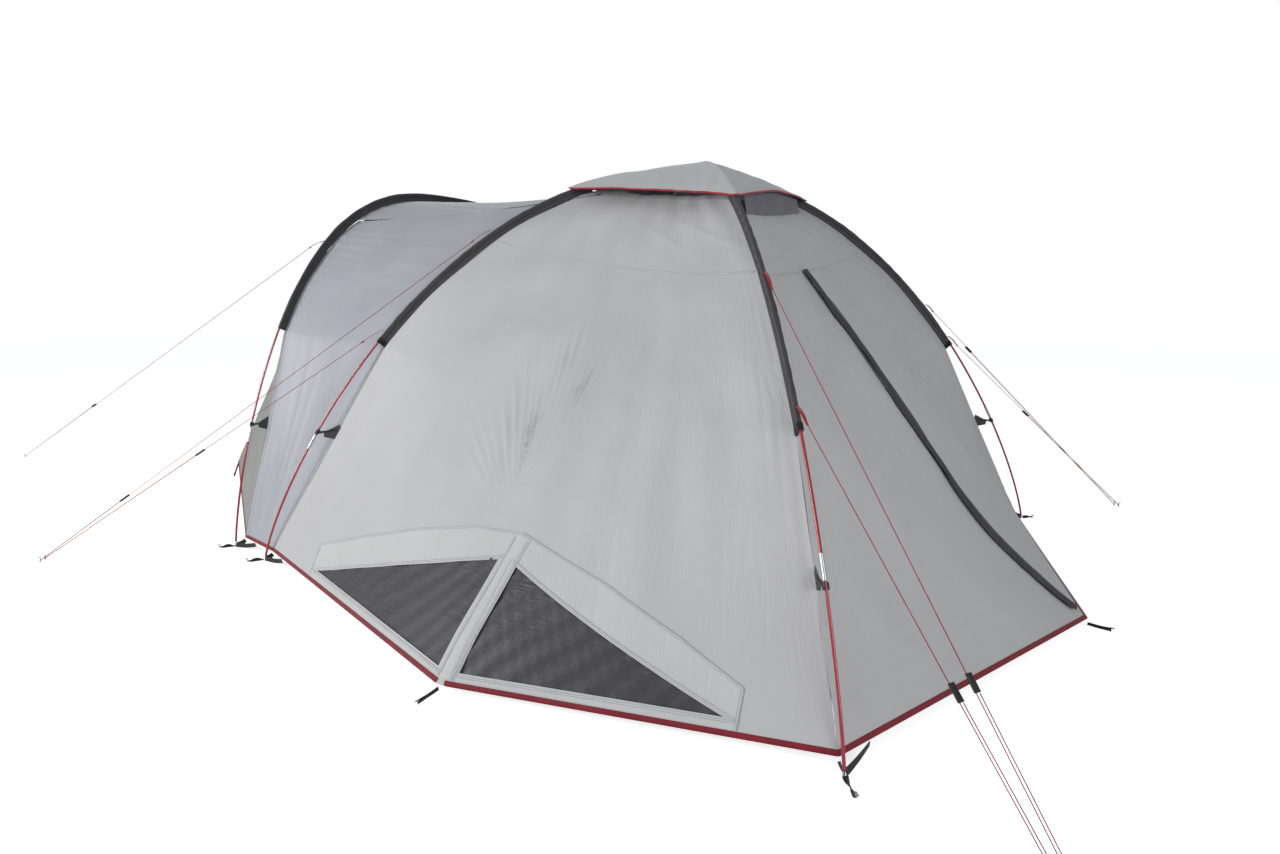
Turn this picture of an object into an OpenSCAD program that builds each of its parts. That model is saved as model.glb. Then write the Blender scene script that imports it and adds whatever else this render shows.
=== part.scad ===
// Dome tent with two crossed poles and a hooped porch, pitched ready for use.
// +X is the rear with the zipped door, -X the porch, -Y the near side, +Z up. Millimetres.

/* [Tent] */
// Height of the point where the two dome poles cross
crown_z = 1782; // [1735:1:1830]
// Distance from the middle of the dome to a pole foot, along the tent
foot_x = 1348; // [1330:1:1370]
// Distance from the middle of the dome to a pole foot, across the tent
foot_y = 1431; // [1415:1:1450]
// How far the dome's middle stands behind the middle of the whole tent
dome_shift = 682.5; // [682.5:0.5:682.5]

/* [Porch] */
// Distance from the dome's middle to the porch hoop
hoop_x = 1652; // [1630:1:1680]
// Half the width of the porch hoop at the ground
hoop_y = 1411; // [1400:1:1425]
// Height of the porch hoop
hoop_z = 1796; // [1750:1:1820]
// Distance from the dome's middle to the front edge of the porch
nose_x = 3130; // [3100:1:3160]
// Half the width of the porch front at the hem
nose_y = 657; // [620:1:700]
// Height of the hem at the porch front
nose_z = 120; // [100:5:140]

/* [Poles and fabric] */
// Diameter of the glass fibre poles
pole_d = 9.5; // [8.5:0.5:10]
// Outside diameter of the ferrules that join the pole sections
ferrule_d = 12.4; // [12:0.2:13]
// Length of a ferrule
ferrule_len = 70; // [50:5:80]
// Thickness of the fabric solids
cloth_t = 2; // [1.5:0.5:2.5]
// Diameter of the guy lines
line_d = 2.5; // [2:0.5:2.5]
// Width of the webbing straps
strap_w = 20; // [15:1:25]

/* [Hidden] */

// Legs are numbered 0 near rear, 1 far rear, 2 near front, 3 far front.
leg_side = [[1, -1], [1, 1], [-1, -1], [-1, 1]];
// Angles from the crown to each leg's cap corner, roof seam, sleeve end and ferrule in the open
cap_deg = [25.5, 17.6, 16.8, 17];
seam_deg = [36, 28, 28, 28];
sleeve_deg = [53, 47, 46.5, 46.5];
ferrule_deg = [64.6, 59.6, 62, 62];
// Steps along the pole where there are ferrules inside the sleeves
hidden_steps = [3, 8, 14];
// Angles along the porch hoop of the roof's edge, the front ridge, the sleeve end and the ferrule
roof_deg = 20;
ridge_deg = 29.4;
porch_sleeve_deg = 46;
porch_ferrule_deg = 63.5;
// A clip sits this many degrees below its ferrule, or above it if negative
clip_step = [1.6, 1.6, -1.6, -1.6];
porch_clip_step = -1.75;
// A pole rod stops and its foot pin starts at this angle
rod_end_deg = 86.5;
// Powers that shape the legs and the hoop
leg_fall = 1.58;
// The legs carry on up by this much away from the flattened crown, within this many degrees of it
crown_rise = 18;
crown_round = 12;
hoop_fall = 1.5;
hoop_spread = 0.69;
// The crossed poles pass this far above and below the crossing
pole_gap = 5.3;
// The fly lies inside the poles, at this share of their size, and hangs from them on the sleeves
tuck = 0.979;

// Corners of the fly's hem, and of the porch's
hem = [[1325, -1415, 45], [1300, 1440, 45], [-1320, -1405, 45], [-1320, 1405, 45]];
porch_hem = [-1610, 1380, 50];
// Peg points in the middle of the sides and of the rear
side_peg = [224, 1745, 30];
rear_peg = [1765, -40, 24];
// Share of the way along the side hem and the rear hem where these lie
side_u = 0.584;
rear_u = 0.49;
// Share across the rear where the zip meets the roof seam
zip_u = 0.389;
// Share of a panel's height at the sleeve ends and at the roof seam
v_sleeve = 0.36;
v_seam = 0.74;
// Depth that a panel's middle is drawn in
side_sag = 38;
rear_sag = 30;
porch_sag = 54;
porch_roof_sag = 18;
porch_roof_arch = 60;
// Gap between neighbouring fabric solids, as a share of a panel
edge = 0.006;

fabric = "silver";
dark = "dimgray";
trim = "darkred";

function mix(a, b, t) = a + (b - a) * t;
function unit(v) = v / norm(v);
function clamp01(t) = min(1, max(0, t));
function flip_y(p) = [p.x, -p.y, p.z];

function leg_pt(i, a, lift = 0) = [
    leg_side[i].x * foot_x * sin(a),
    leg_side[i].y * foot_y * sin(a),
    (crown_z + lift + crown_rise * (1 - exp(-pow(a / crown_round, 2)))) * pow(cos(a), leg_fall)
];
function fly_pt(i, a) = tuck * leg_pt(i, a);
function hoop_pt(a) = [
    -hoop_x,
    hoop_y * sign(a) * pow(abs(sin(a)), hoop_spread),
    hoop_z * pow(cos(a), hoop_fall)
];
function hoop_fly(a) = [-hoop_x, hoop_pt(a).y * tuck, hoop_pt(a).z * tuck];

// Edge of a dome panel along a leg: straight from the hem to the sleeve end, then along the pole
function leg_deg(i, v) = v < v_seam
    ? mix(sleeve_deg[i], seam_deg[i], (v - v_sleeve) / (v_seam - v_sleeve))
    : mix(seam_deg[i], cap_deg[i], (v - v_seam) / (1 - v_seam));
function leg_rail(i, v) = v < v_sleeve
    ? mix(hem[i], fly_pt(i, sleeve_deg[i]), v / v_sleeve)
    : fly_pt(i, leg_deg(i, v));

// Edge of a porch wall along the hoop, on the side s of -1 near or 1 far
function porch_foot(s) = [porch_hem.x, s * porch_hem.y, porch_hem.z];
function hoop_rail(s, v) = v < v_sleeve
    ? mix(porch_foot(s), hoop_fly(s * porch_sleeve_deg), v / v_sleeve)
    : hoop_fly(s * mix(porch_sleeve_deg, roof_deg, (v - v_sleeve) / (1 - v_sleeve)));
function front_rail(s, v) = v < 0.6
    ? mix(porch_foot(s), hoop_fly(s * porch_sleeve_deg), v / 0.6)
    : hoop_fly(s * mix(porch_sleeve_deg, ridge_deg, (v - 0.6) / 0.4));
function ridge_rail(s, v) = mix([-nose_x, s * nose_y, nose_z], hoop_fly(s * ridge_deg), v);

// A tent-shaped pull towards a peg point at the share m of the width
function peak(u, m) = u < m ? u / m : (1 - u) / (1 - m);
function bow(u) = 4 * u * (1 - u);

// The crease above the side peg leans towards the rear
function side_mid(v) = side_u + 0.125 * min(v, 0.2);
function side_pull() = side_peg.y - abs(mix(hem[2], hem[0], side_u).y);
function side_fn(s) = function (u, v)
    let (a = s < 0 ? 2 : 3, b = s < 0 ? 0 : 1, low = 1 - clamp01(v / 0.62))
    mix(leg_rail(a, v), leg_rail(b, v), u)
    + [0, s * (side_pull() * peak(u, side_mid(v)) * pow(low, 1.6) - side_sag * bow(u) * (1 - low)),
       -side_sag * bow(u) * (1 - low) - (1 - clamp01(v / 0.05)) * 15 * peak(u, side_mid(v))];

function rear_pull() = rear_peg.x - mix(hem[0], hem[1], rear_u).x;
function rear_mid(v) = mix(rear_u, zip_u, pow(clamp01(v / v_seam), 0.6));
rear_fn = function (u, v)
    let (low = 1 - clamp01(v / v_seam), pull = 0.66 * pow(low, 2.5) + 0.34 * pow(low, 12))
    mix(leg_rail(0, v), leg_rail(1, v), u)
    + [rear_pull() * pull * peak(u, rear_mid(v)) - rear_sag * bow(u) * (1 - low),
       0,
       -rear_sag * bow(u) * (1 - low) - (1 - clamp01(v / 0.05)) * 21 * peak(u, rear_mid(v))];

function porch_wall_fn(s) = function (u, v)
    mix(hoop_rail(s, v), leg_rail(s < 0 ? 2 : 3, v), u)
    + porch_sag * bow(u) * bow(clamp01(v)) * [0, -0.25 * s, -0.2]
    + [0, 0, -porch_roof_sag * bow(u) * pow(v, 3)];
porch_roof_fn = function (u, v)
    mix(hoop_fly(mix(-roof_deg, roof_deg, u)), mix(leg_rail(2, 1), leg_rail(3, 1), u), v)
    + [0, 0, -porch_roof_sag * bow(v) + porch_roof_arch * v * bow(u)];
function front_wall_fn(s) = function (u, v) mix(ridge_rail(s, v), front_rail(s, v), u);
front_fn = function (u, v)
    let (a = mix(-ridge_deg, ridge_deg, u))
    mix(ridge_rail(-1, v), ridge_rail(1, v), u)
    + (hoop_fly(a) - mix(hoop_fly(-ridge_deg), hoop_fly(ridge_deg), u)) * v * v
    + [-60 * bow(u) * (1 - v), 0, 0];

// The cap follows the poles along its diagonals and is bowed between them
function cap_leg(i, r) = leg_pt(i, r * cap_deg[i]) * (1 + 0.006 * r) + [0, 0, 22 - 3 * r];
cap_fn = function (u, v)
    let (a = 2 * u - 1, b = 2 * v - 1, r = max(abs(a), abs(b), 0.0001))
    abs(b) >= abs(a)
        ? mix(cap_leg(b < 0 ? 2 : 3, r), cap_leg(b < 0 ? 0 : 1, r), (a / r + 1) / 2)
            + [0, 0, 14 * bow((a / r + 1) / 2) * r]
        : mix(cap_leg(a < 0 ? 2 : 0, r), cap_leg(a < 0 ? 3 : 1, r), (b / r + 1) / 2)
            + (a > 0 ? [14, 0, 30] : [0, 0, 34]) * bow((b / r + 1) / 2) * r * r;

function zip_pt(v, out = 0) = rear_fn(rear_mid(v), v) + out * rear_normal(v);
function rear_normal(v) = mix(surface_normal(rear_fn, rear_mid(v) - 0.04, v),
                              surface_normal(rear_fn, rear_mid(v) + 0.04, v), 0.5);

function surface_normal(f, u, v) =
    let (e = 0.004, along = f(u + e, v) - f(u - e, v), up = f(u, v + e) - f(u, v - e))
    unit(cross(along, up));

function patch_uv(c, s, t) = mix(mix(c[0], c[1], s), mix(c[3], c[2], s), t);
function patch_layer(f, c, nu, nv, off) = [
    for (j = [0:nv]) for (i = [0:nu])
        let (w = patch_uv(c, i / nu, j / nv)) f(w.x, w.y) + off * surface_normal(f, w.x, w.y)
];
function quad(a, b, c, d) = [[a, b, c], [a, c, d]];

// A thin closed solid over the patch of a surface with the corners c, anticlockwise in u and v
module shell(f, c, nu, nv, t = cloth_t, lift = 0) {
    n = (nu + 1) * (nv + 1);
    w = nu + 1;
    points = concat(patch_layer(f, c, nu, nv, lift + t / 2), patch_layer(f, c, nu, nv, lift - t / 2));
    faces = [
        for (j = [0:nv - 1]) for (i = [0:nu - 1])
            let (k = j * w + i) each quad(k, k + w, k + w + 1, k + 1),
        for (j = [0:nv - 1]) for (i = [0:nu - 1])
            let (k = n + j * w + i) each quad(k, k + 1, k + w + 1, k + w),
        for (i = [0:nu - 1]) each quad(i, i + 1, n + i + 1, n + i),
        for (i = [0:nu - 1]) let (k = nv * w + i) each quad(k, n + k, n + k + 1, k + 1),
        for (j = [0:nv - 1]) let (k = j * w) each quad(k, n + k, n + k + w, k + w),
        for (j = [0:nv - 1]) let (k = j * w + nu) each quad(k, k + w, n + k + w, n + k)
    ];
    polyhedron(points, faces);
}

// The same patch as rows and columns of thin solids, with a gap between them of this share of each
row_gap = 0.004;
module cells(f, c, across, up, nu, nv) for (j = [0:up - 1]) for (i = [0:across - 1]) {
    a = [row_gap, 1 - row_gap];
    shell(f, [for (k = [[0, 0], [1, 0], [1, 1], [0, 1]])
                  patch_uv(c, (i + a[k.x]) / across, (j + a[k.y]) / up)],
          nu, nv);
}

// A round tube swept along points; its first ring stands square to the first stretch
function tangents(p) = [
    for (i = [0:len(p) - 1]) unit(p[min(i + 1, len(p) - 1)] - p[max(i - 1, 0)])
];
function square_to(t) = unit(cross(t, abs(t.z) < 0.9 ? [0, 0, 1] : [0, 1, 0]));
function carried(n, t) = unit(n - (n * t) * t);
module tube(p, d, sides = 8) {
    t = tangents(p);
    normals = [for (i = 0, n = square_to(t[0]); i < len(p);
                    n = i + 1 < len(p) ? carried(n, t[i + 1]) : n, i = i + 1) n];
    rings = [for (i = [0:len(p) - 1]) for (k = [0:sides - 1])
        let (a = 360 * k / sides, m = cross(t[i], normals[i]))
        p[i] + d / 2 * (cos(a) * normals[i] + sin(a) * m)];
    last = (len(p) - 1) * sides;
    faces = [
        [for (k = [0:sides - 1]) k],
        [for (k = [sides - 1:-1:0]) last + k],
        for (i = [0:len(p) - 2]) for (k = [0:sides - 1])
            let (a = i * sides + k, b = i * sides + (k + 1) % sides)
            each quad(a, a + sides, b + sides, b)
    ];
    polyhedron(rings, faces);
}

// Turns a child that stands along +Z so that it runs from p towards q
module along(p, q) {
    d = q - p;
    translate(p) rotate([0, acos(d.z / norm(d)), atan2(d.y, d.x)]) children();
}
module strap(p, q, w = strap_w, t = 1.6) {
    along(p, q) translate([-t / 2, -w / 2, 0]) cube([t, w, norm(q - p)]);
}
module rod(p, q, d) {
    along(p, q) cylinder(d = d, h = norm(q - p), $fn = 24);
}
module place() translate([dome_shift, 0, 0]) children();

pole_steps = 30;
function dome_arc(i, j, lift) = concat(
    [for (k = [pole_steps:-1:1]) leg_pt(i, rod_end_deg * k / pole_steps, lift)],
    [for (k = [0:pole_steps]) leg_pt(j, rod_end_deg * k / pole_steps, lift)]
);
function hoop_arc(a) = [for (k = [-pole_steps:pole_steps]) hoop_pt(a * k / pole_steps)];

module dome_pole_a() color(trim) place() tube(dome_arc(0, 3, pole_gap), pole_d, 10);
module dome_pole_b() color(trim) place() tube(dome_arc(1, 2, -pole_gap), pole_d, 10);
module porch_pole() color(trim) place() tube(hoop_arc(rod_end_deg), pole_d, 10);

// Legs 0 and 3 share the upper pole
function leg_lift(i) = (i == 0 || i == 3) ? pole_gap : -pole_gap;
module ferrule(p, q) {
    m = (p + q) / 2;
    h = unit(q - p) * ferrule_len / 2;
    along(m - h, m + h) difference() {
        cylinder(d = ferrule_d, h = ferrule_len, $fn = 24);
        translate([0, 0, -1]) cylinder(d = pole_d + 1.7, h = ferrule_len + 2, $fn = 24);
    }
}
module pole_ferrules() color("lightgray") place() {
    step = rod_end_deg / pole_steps;
    for (i = [0:3]) {
        for (k = hidden_steps)
            ferrule(leg_pt(i, step * k, leg_lift(i)), leg_pt(i, step * (k + 1), leg_lift(i)));
        ferrule(leg_pt(i, ferrule_deg[i] - 0.8, leg_lift(i)), leg_pt(i, ferrule_deg[i] + 0.8, leg_lift(i)));
    }
    for (s = [-1, 1]) {
        for (k = hidden_steps) ferrule(hoop_pt(s * step * k), hoop_pt(s * step * (k + 1)));
        ferrule(hoop_pt(s * (porch_ferrule_deg - 0.8)), hoop_pt(s * (porch_ferrule_deg + 0.8)));
    }
}
pin_h = 20;
module foot_pin(p) translate([p.x, p.y, 0]) cylinder(d = 7, h = pin_h, $fn = 24);
module pole_foot_pins() color("lightgray") place() {
    for (i = [0:3]) foot_pin(leg_pt(i, rod_end_deg));
    for (s = [-1, 1]) foot_pin(hoop_pt(s * rod_end_deg));
}

sleeve_d = 28;
sleeve_bore = 23;
module hollow_sleeve(p, inner) difference() {
    tube(p, sleeve_d, 12);
    tube(inner, sleeve_bore, 10);
}
sleeve_steps = 14;
function sleeve_arc(i, from, to) = [
    for (k = [0:sleeve_steps]) leg_pt(i, mix(from, to, k / sleeve_steps), leg_lift(i))
];
// The flat web between a sleeve's tunnel and the fly, from u = 0 at the fly to u = 1 in the tunnel's wall
on_fly = 1.003;
in_wall = 0.9932;
function leg_web(i) = function (u, v)
    let (a = mix(cap_deg[i] + 1.5, sleeve_deg[i] - 0.5, v))
    mix(on_fly * fly_pt(i, a), in_wall * leg_pt(i, a, leg_lift(i)), u);
module leg_sleeve(i) {
    hollow_sleeve(
        sleeve_arc(i, cap_deg[i] + 1, sleeve_deg[i]),
        sleeve_arc(i, cap_deg[i] + 0.8, sleeve_deg[i] + 0.2)
    );
    shell(leg_web(i), full, 1, sleeve_steps);
}
module near_rear_sleeve() color(dark) place() leg_sleeve(0);
module far_rear_sleeve() color(dark) place() leg_sleeve(1);
module near_front_sleeve() color(dark) place() leg_sleeve(2);
module far_front_sleeve() color(dark) place() leg_sleeve(3);
function hoop_sleeve_arc(a) = [for (k = [-24:24]) hoop_pt(a * k / 24)];
hoop_web = function (u, v)
    let (a = mix(0.5 - porch_sleeve_deg, porch_sleeve_deg - 0.5, v), p = hoop_pt(a), q = hoop_fly(a))
    mix([p.x, on_fly * q.y, on_fly * q.z], [p.x, in_wall * p.y, in_wall * p.z], u);
module porch_sleeve() color(dark) place() {
    hollow_sleeve(hoop_sleeve_arc(porch_sleeve_deg), hoop_sleeve_arc(porch_sleeve_deg + 0.2));
    shell(hoop_web, full, 1, 48);
}

full = [[0, 0], [1, 0], [1, 1], [0, 1]];
function box_uv(u0, u1, v0, v1) = [[u0, v0], [u1, v0], [u1, v1], [u0, v1]];

module roof_cap() color(fabric) place() cells(cap_fn, full, 4, 4, 4, 4);

// Mesh in the opening under the raised rear edge of the cap
vent_fn = function (u, v) mix(leg_vent(u), cap_fn(1, mix(0.14, 0.86, u)) + [-22, 0, -7], v);
function leg_vent(u) = rear_fn(mix(0.14, 0.86, u), 0.985) + [0, 0, 5];
module vent_mesh() color(dark) place() shell(vent_fn, full, 10, 1, 1.2);
// Corners of the two window openings of a side, in u and v
windows = [
    [[0.181, 0.016], [0.572, 0.013], [0.589, 0.137]],
    [[0.617, 0.135], [0.602, 0.013], [0.897, 0.017]]
];
// The sharp corner of each, and the share of it that the mesh leaves off
window_tip = [0, 2];
tip_cut = 0.06;
window_v = 0.142;
// Pieces of a side are drawn in a little, so that no two touch
function drawn_in(c) = let (m = (c[0] + c[1] + c[2] + c[3]) / 4) [for (p = c) mix(p, m, 0.006)];
module piece(s, c, nu, nv) shell(side_fn(s), drawn_in(c), nu, nv);
module side_panel(s) {
    l = windows[0];
    r = windows[1];
    crease = [side_mid(window_v), window_v];
    piece(s, [[edge, 0], [side_u, 0], l[1], l[0]], 8, 1);
    piece(s, [[edge, 0], l[0], l[2], [edge, window_v]], 4, 6);
    piece(s, [l[1], [side_u, 0], crease, l[2]], 1, 6);
    piece(s, [[side_u, 0], [1 - edge, 0], r[2], r[1]], 8, 1);
    piece(s, [r[2], [1 - edge, 0], [1 - edge, window_v], r[0]], 4, 6);
    piece(s, [[side_u, 0], r[1], r[0], crease], 1, 6);
    top = window_v + 0.003;
    cells(side_fn(s), [[edge, top], crease + [0, 0.003], [0.5, 0.998], [edge, 0.998]], 1, 4, 9, 3);
    cells(side_fn(s), [crease + [0, 0.003], [1 - edge, top], [1 - edge, 0.998], [0.5, 0.998]], 1, 4, 9, 3);
}
module side_windows(s) {
    for (k = [0, 1]) {
        w = windows[k];
        m = (w[0] + w[1] + w[2]) / 3;
        c = [for (p = w) mix(p, m, 0.03)];
        tip = c[window_tip[k]];
        a = c[(window_tip[k] + 1) % 3];
        b = c[(window_tip[k] + 2) % 3];
        shell(side_fn(s), [mix(tip, a, tip_cut), a, b, mix(tip, b, tip_cut)], 6, 4, 1.2);
    }
}
module near_side_panel() color(fabric) place() side_panel(-1);
module far_side_panel() color(fabric) place() side_panel(1);
module near_window_mesh() color(dark) place() side_windows(-1);
module far_window_mesh() color(dark) place() side_windows(1);

// The rear is split along its zip, and its far part turns out as a door up to the leaf's top
leaf_v = [0.05, 0.34];
zip_gap = 0.005;
function strip_uv(v0, v1) = [
    [edge, v0], [rear_mid(v0) - zip_gap, v0], [rear_mid(v1) - zip_gap, v1], [edge, v1]
];
function far_uv(v0, v1) = [
    [rear_mid(v0) + zip_gap, v0], [1 - edge, v0], [1 - edge, v1], [rear_mid(v1) + zip_gap, v1]
];
near_v = [0.01, leaf_v[0], leaf_v[1], v_seam - 0.002];
module rear_near_panel() color(fabric) place() for (k = [0:2])
    cells(rear_fn, strip_uv(near_v[k], near_v[k + 1] - 0.003), 2, k == 0 ? 1 : 2, 3, k == 0 ? 2 : 4);
module rear_far_panel() color(fabric) place() {
    shell(rear_fn, far_uv(leaf_v[1] + 0.006, v_seam - 0.002), 8, 8);
    shell(rear_fn, box_uv(edge, 1 - edge, v_seam + 0.002, 0.985), 10, 4);
}
module rear_door_leaf() color(fabric) place() shell(rear_fn, far_uv(leaf_v[0], leaf_v[1]), 8, 8);

module porch_wall(s) cells(porch_wall_fn(s), box_uv(0.03, 0.97, 0.002, 0.998), 1, 8, 6, 2);
module porch_near_wall() color(fabric) place() porch_wall(-1);
module porch_far_wall() color(fabric) place() porch_wall(1);
module porch_roof() color(fabric) place() cells(porch_roof_fn, box_uv(0.01, 0.99, 0.02, 0.97), 8, 1, 2, 8);
module front_wall(s) shell(front_wall_fn(s), box_uv(0.01, 0.975, 0.002, 0.95), 6, 12);
module porch_front_near() color(fabric) place() front_wall(-1);
module porch_front_far() color(fabric) place() front_wall(1);
door_top = 0.46;
module porch_front_top() color(fabric) place()
    cells(front_fn, box_uv(0.01, 0.99, door_top + 0.006, 0.975), 6, 2, 2, 4);
module porch_door_leaf() color(fabric) place() shell(front_fn, box_uv(0.01, 0.985, 0.03, door_top), 8, 6);

// Binding along the hem, in two runs that stop at the doors
tape_d = 8;
tape_drop = [0, 0, -8];
near_hem = [
    rear_peg + [0, -6, 0], hem[0], flip_y(side_peg), hem[2], porch_foot(-1), [-nose_x, -nose_y, nose_z]
];
far_hem = [[-nose_x, nose_y, nose_z], porch_foot(1), hem[3], side_peg, hem[1]];
module tape_run(p) for (i = [0:len(p) - 2]) {
    d = unit(p[i + 1] - p[i]) * 6;
    rod(p[i] + d + tape_drop, p[i + 1] - d + tape_drop, tape_d);
}
module hem_tape() color(trim) place() {
    tape_run(near_hem);
    tape_run(far_hem);
}

// Inner tent, hung inside the fly
inner_share = 0.925;
inner_foot = [1190, 1270, 70];
inner_low = 0.3;
function inner_rail(i, v) = v < inner_low
    ? mix([leg_side[i].x * inner_foot.x, leg_side[i].y * inner_foot.y, inner_foot.z],
          inner_share * leg_pt(i, 62), v / inner_low)
    : inner_share * leg_pt(i, mix(62, 5, (v - inner_low) / (1 - inner_low)));
function inner_fn(a, b) = function (u, v) mix(inner_rail(a, v), inner_rail(b, v), u);
inner_uv = box_uv(0.012, 0.988, 0, 1);
module inner_tent() color("whitesmoke") place() {
    for (w = [[2, 0], [0, 1], [1, 3]]) shell(inner_fn(w[0], w[1]), inner_uv, 2, 14, 1.2);
}
// The inner tent's doorway stands open towards the porch, with its door rolled away
doorway = [0.3, 0.7];
lintel_v = 0.5;
module inner_front_wall() color("gainsboro") place() {
    shell(inner_fn(3, 2), box_uv(0.012, doorway[0], 0, 1), 1, 14, 1.2);
    shell(inner_fn(3, 2), box_uv(doorway[1], 0.988, 0, 1), 1, 14, 1.2);
    shell(inner_fn(3, 2), box_uv(doorway[0] + 0.004, doorway[1] - 0.004, lintel_v, 1), 1, 8, 1.2);
}
sheet_wall = 62;
module groundsheet() color("slategray") place() difference() {
    translate([-inner_foot.x - 8, -inner_foot.y - 8, 0])
        cube([2 * inner_foot.x + 16, 2 * inner_foot.y + 16, sheet_wall]);
    translate([-inner_foot.x - 5, -inner_foot.y - 5, 2])
        cube([2 * inner_foot.x + 10, 2 * inner_foot.y + 10, sheet_wall]);
}
toggle_deg = [40, 58];
module inner_toggles() color("black") place() {
    for (i = [0:3]) for (a = toggle_deg) {
        p = leg_pt(i, a) * (inner_share + 0.008);
        q = leg_pt(i, a) * (a > sleeve_deg[i] ? inner_share + 0.022 : tuck - 0.012);
        rod(p, q, 6);
    }
}

// Zip, from the rear peg point to the roof seam, under its weather flap
function zip_run(v0, v1, out) = [for (k = [0:24]) zip_pt(mix(v0, v1, k / 24), out)];
module rear_zip_coil() color("black") place() tube(zip_run(0.015, v_seam - 0.01, 4), 4, 8);
flap_lift = 18;
// The flap lies mostly on the near side of the zip, clear of the door that swings out
flap_reach = [-33, 7];
flap_fn = function (u, v) zip_pt(v, flap_lift) + mix(flap_reach[0], flap_reach[1], u) * [0, 1, -0.35];
module rear_zip_flap() color(dark) place() shell(flap_fn, box_uv(0, 1, 0.012, v_seam - 0.006), 1, 24, 1.6);
slider_v = 0.1;
slider_out = 10.9;
slider_p = zip_pt(slider_v, slider_out);
slider_q = zip_pt(slider_v + 0.02, slider_out);
// The puller swings on a pin through the slider's bail
pin_at = [1.2, 0, 8];
module cross_pin(d, h) translate(pin_at) rotate([90, 0, 0]) cylinder(d = d, h = h, center = true, $fn = 24);
module rear_zip_slider() color("silver") place() along(slider_p, slider_q) {
    translate([-2.2, -5, 0]) cube([2.2, 10, 16]);
    difference() {
        translate([-0.2, -2, 4]) cube([2.9, 4, 8]);
        cross_pin(1.7, 8);
    }
}
module rear_zip_puller() color("black") place() along(slider_p, slider_q) {
    cross_pin(1.5, 6.6);
    for (y = [-3.3, 2.5]) translate([0.5, y, -3]) cube([1.4, 0.8, 12]);
    translate([0.5, -3.3, -18]) cube([1.4, 6.6, 15]);
}

// Clips that hold the fly to the poles below the sleeves
module clip(p, q, f) {
    d = unit(q - p) * 11;
    along(p - d, p + d) difference() {
        cylinder(d = 19, h = 22, $fn = 32);
        translate([0, 0, -1]) cylinder(d = pole_d + 1.6, h = 24, $fn = 32);
    }
    r = unit(f - p);
    strap(p + r * 9, f - r * 3, 16, 2);
}
function leg_fly_at(i, z) = leg_rail(i, v_sleeve * (z - hem[i].z) / (fly_pt(i, sleeve_deg[i]).z - hem[i].z));
function hoop_fly_at(s, z) =
    hoop_rail(s, v_sleeve * (z - porch_hem.z) / (hoop_fly(porch_sleeve_deg).z - porch_hem.z));
module pole_clips() color("black") place() {
    for (i = [0:3]) {
        a = ferrule_deg[i] + clip_step[i];
        clip(leg_pt(i, a, leg_lift(i)), leg_pt(i, a + 0.5, leg_lift(i)), leg_fly_at(i, leg_pt(i, a).z));
    }
    for (s = [-1, 1]) {
        a = porch_ferrule_deg + porch_clip_step;
        clip(hoop_pt(s * a), hoop_pt(s * (a + 0.5)), hoop_fly_at(s, hoop_pt(a).z));
    }
}

// Webbing from the hem to the pole feet
function foot_of(i) = [leg_side[i].x * foot_x, leg_side[i].y * foot_y, 12];
function porch_foot_pin(s) = [-hoop_x, s * hoop_y, 12];
module foot_strap(foot, corner, second) {
    for (target = [corner, second]) {
        d = unit(target - foot);
        strap(foot + unit([d.x, d.y, 0]) * 9, target - d * 9 + [0, 0, -14], strap_w, 1.6);
    }
}
module foot_straps() color("black") place() {
    for (i = [0:3]) {
        next = i < 2 ? rear_peg : [side_peg.x, leg_side[i].y * side_peg.y, side_peg.z];
        foot_strap(foot_of(i), hem[i], hem[i] + unit(next - hem[i]) * 130);
    }
    for (s = [-1, 1])
        foot_strap(porch_foot_pin(s), porch_foot(s),
                   porch_foot(s) + unit(hem[s < 0 ? 2 : 3] - porch_foot(s)) * 110);
}

// Peg loops lie on the ground and run out from the feet and from the hem's peg points
peg_reach = 75;
function peg_dir(p) = unit([p.x > 0 ? 0.65 : -0.75, sign(p.y) * 0.76, 0]);
loop_feet = [for (i = [0:3]) [foot_of(i), peg_dir(foot_of(i))],
             for (s = [-1, 1]) [porch_foot_pin(s), unit([-0.75, s * 0.66, 0])]];
loop_hem = [
    [flip_y(side_peg), [0, -1, 0]], [side_peg, [0, 1, 0]], [rear_peg, [1, 0, 0]],
    [[-nose_x, -nose_y, nose_z], [-1, 0, 0]], [[-nose_x, nose_y, nose_z], [-1, 0, 0]]
];
module flat_loop(p, d) {
    a = [p.x, p.y, 1] + d * 6;
    rotate_to(a, d) translate([0, -strap_w / 2, -1]) cube([peg_reach - 12, strap_w, 2]);
}
module rotate_to(p, d) translate(p) rotate([0, 0, atan2(d.y, d.x)]) children();
module hem_loop(p, d) {
    a = p + [0, 0, -tape_d - 6] + d * 2;
    strap(a, [p.x, p.y, 3] + d * (peg_reach - 8), 12, 1.6);
}
module peg_straps() color("black") place() {
    for (l = loop_feet) flat_loop(l[0], l[1]);
    for (l = loop_hem) hem_loop(l[0], l[1]);
}
peg_d = 5;
peg_h = 16;
hook_len = 12;
module peg(p, d) rotate_to([p.x, p.y, 0] + d * (peg_reach - 2.5), d) {
    cylinder(d = peg_d, h = peg_h, $fn = 20);
    translate([0, 0, peg_h - peg_d / 2]) rotate([0, 90, 0]) cylinder(d = peg_d, h = hook_len, $fn = 20);
}
module hook_pegs() color("lightgray") place() for (l = concat(loop_feet, loop_hem)) peg(l[0], l[1]);

// Guy lines: where each is tied, where it is pegged, and the share of its length at its runner
anchor = [
    [-5155, -1265, 0], [-2145, -2020, 0], [-2145, -2020, 0], [1848, -1549, 0], [1848, -1549, 0],
    [1773, 2081, 0], [1773, 2081, 0]
];
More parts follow.
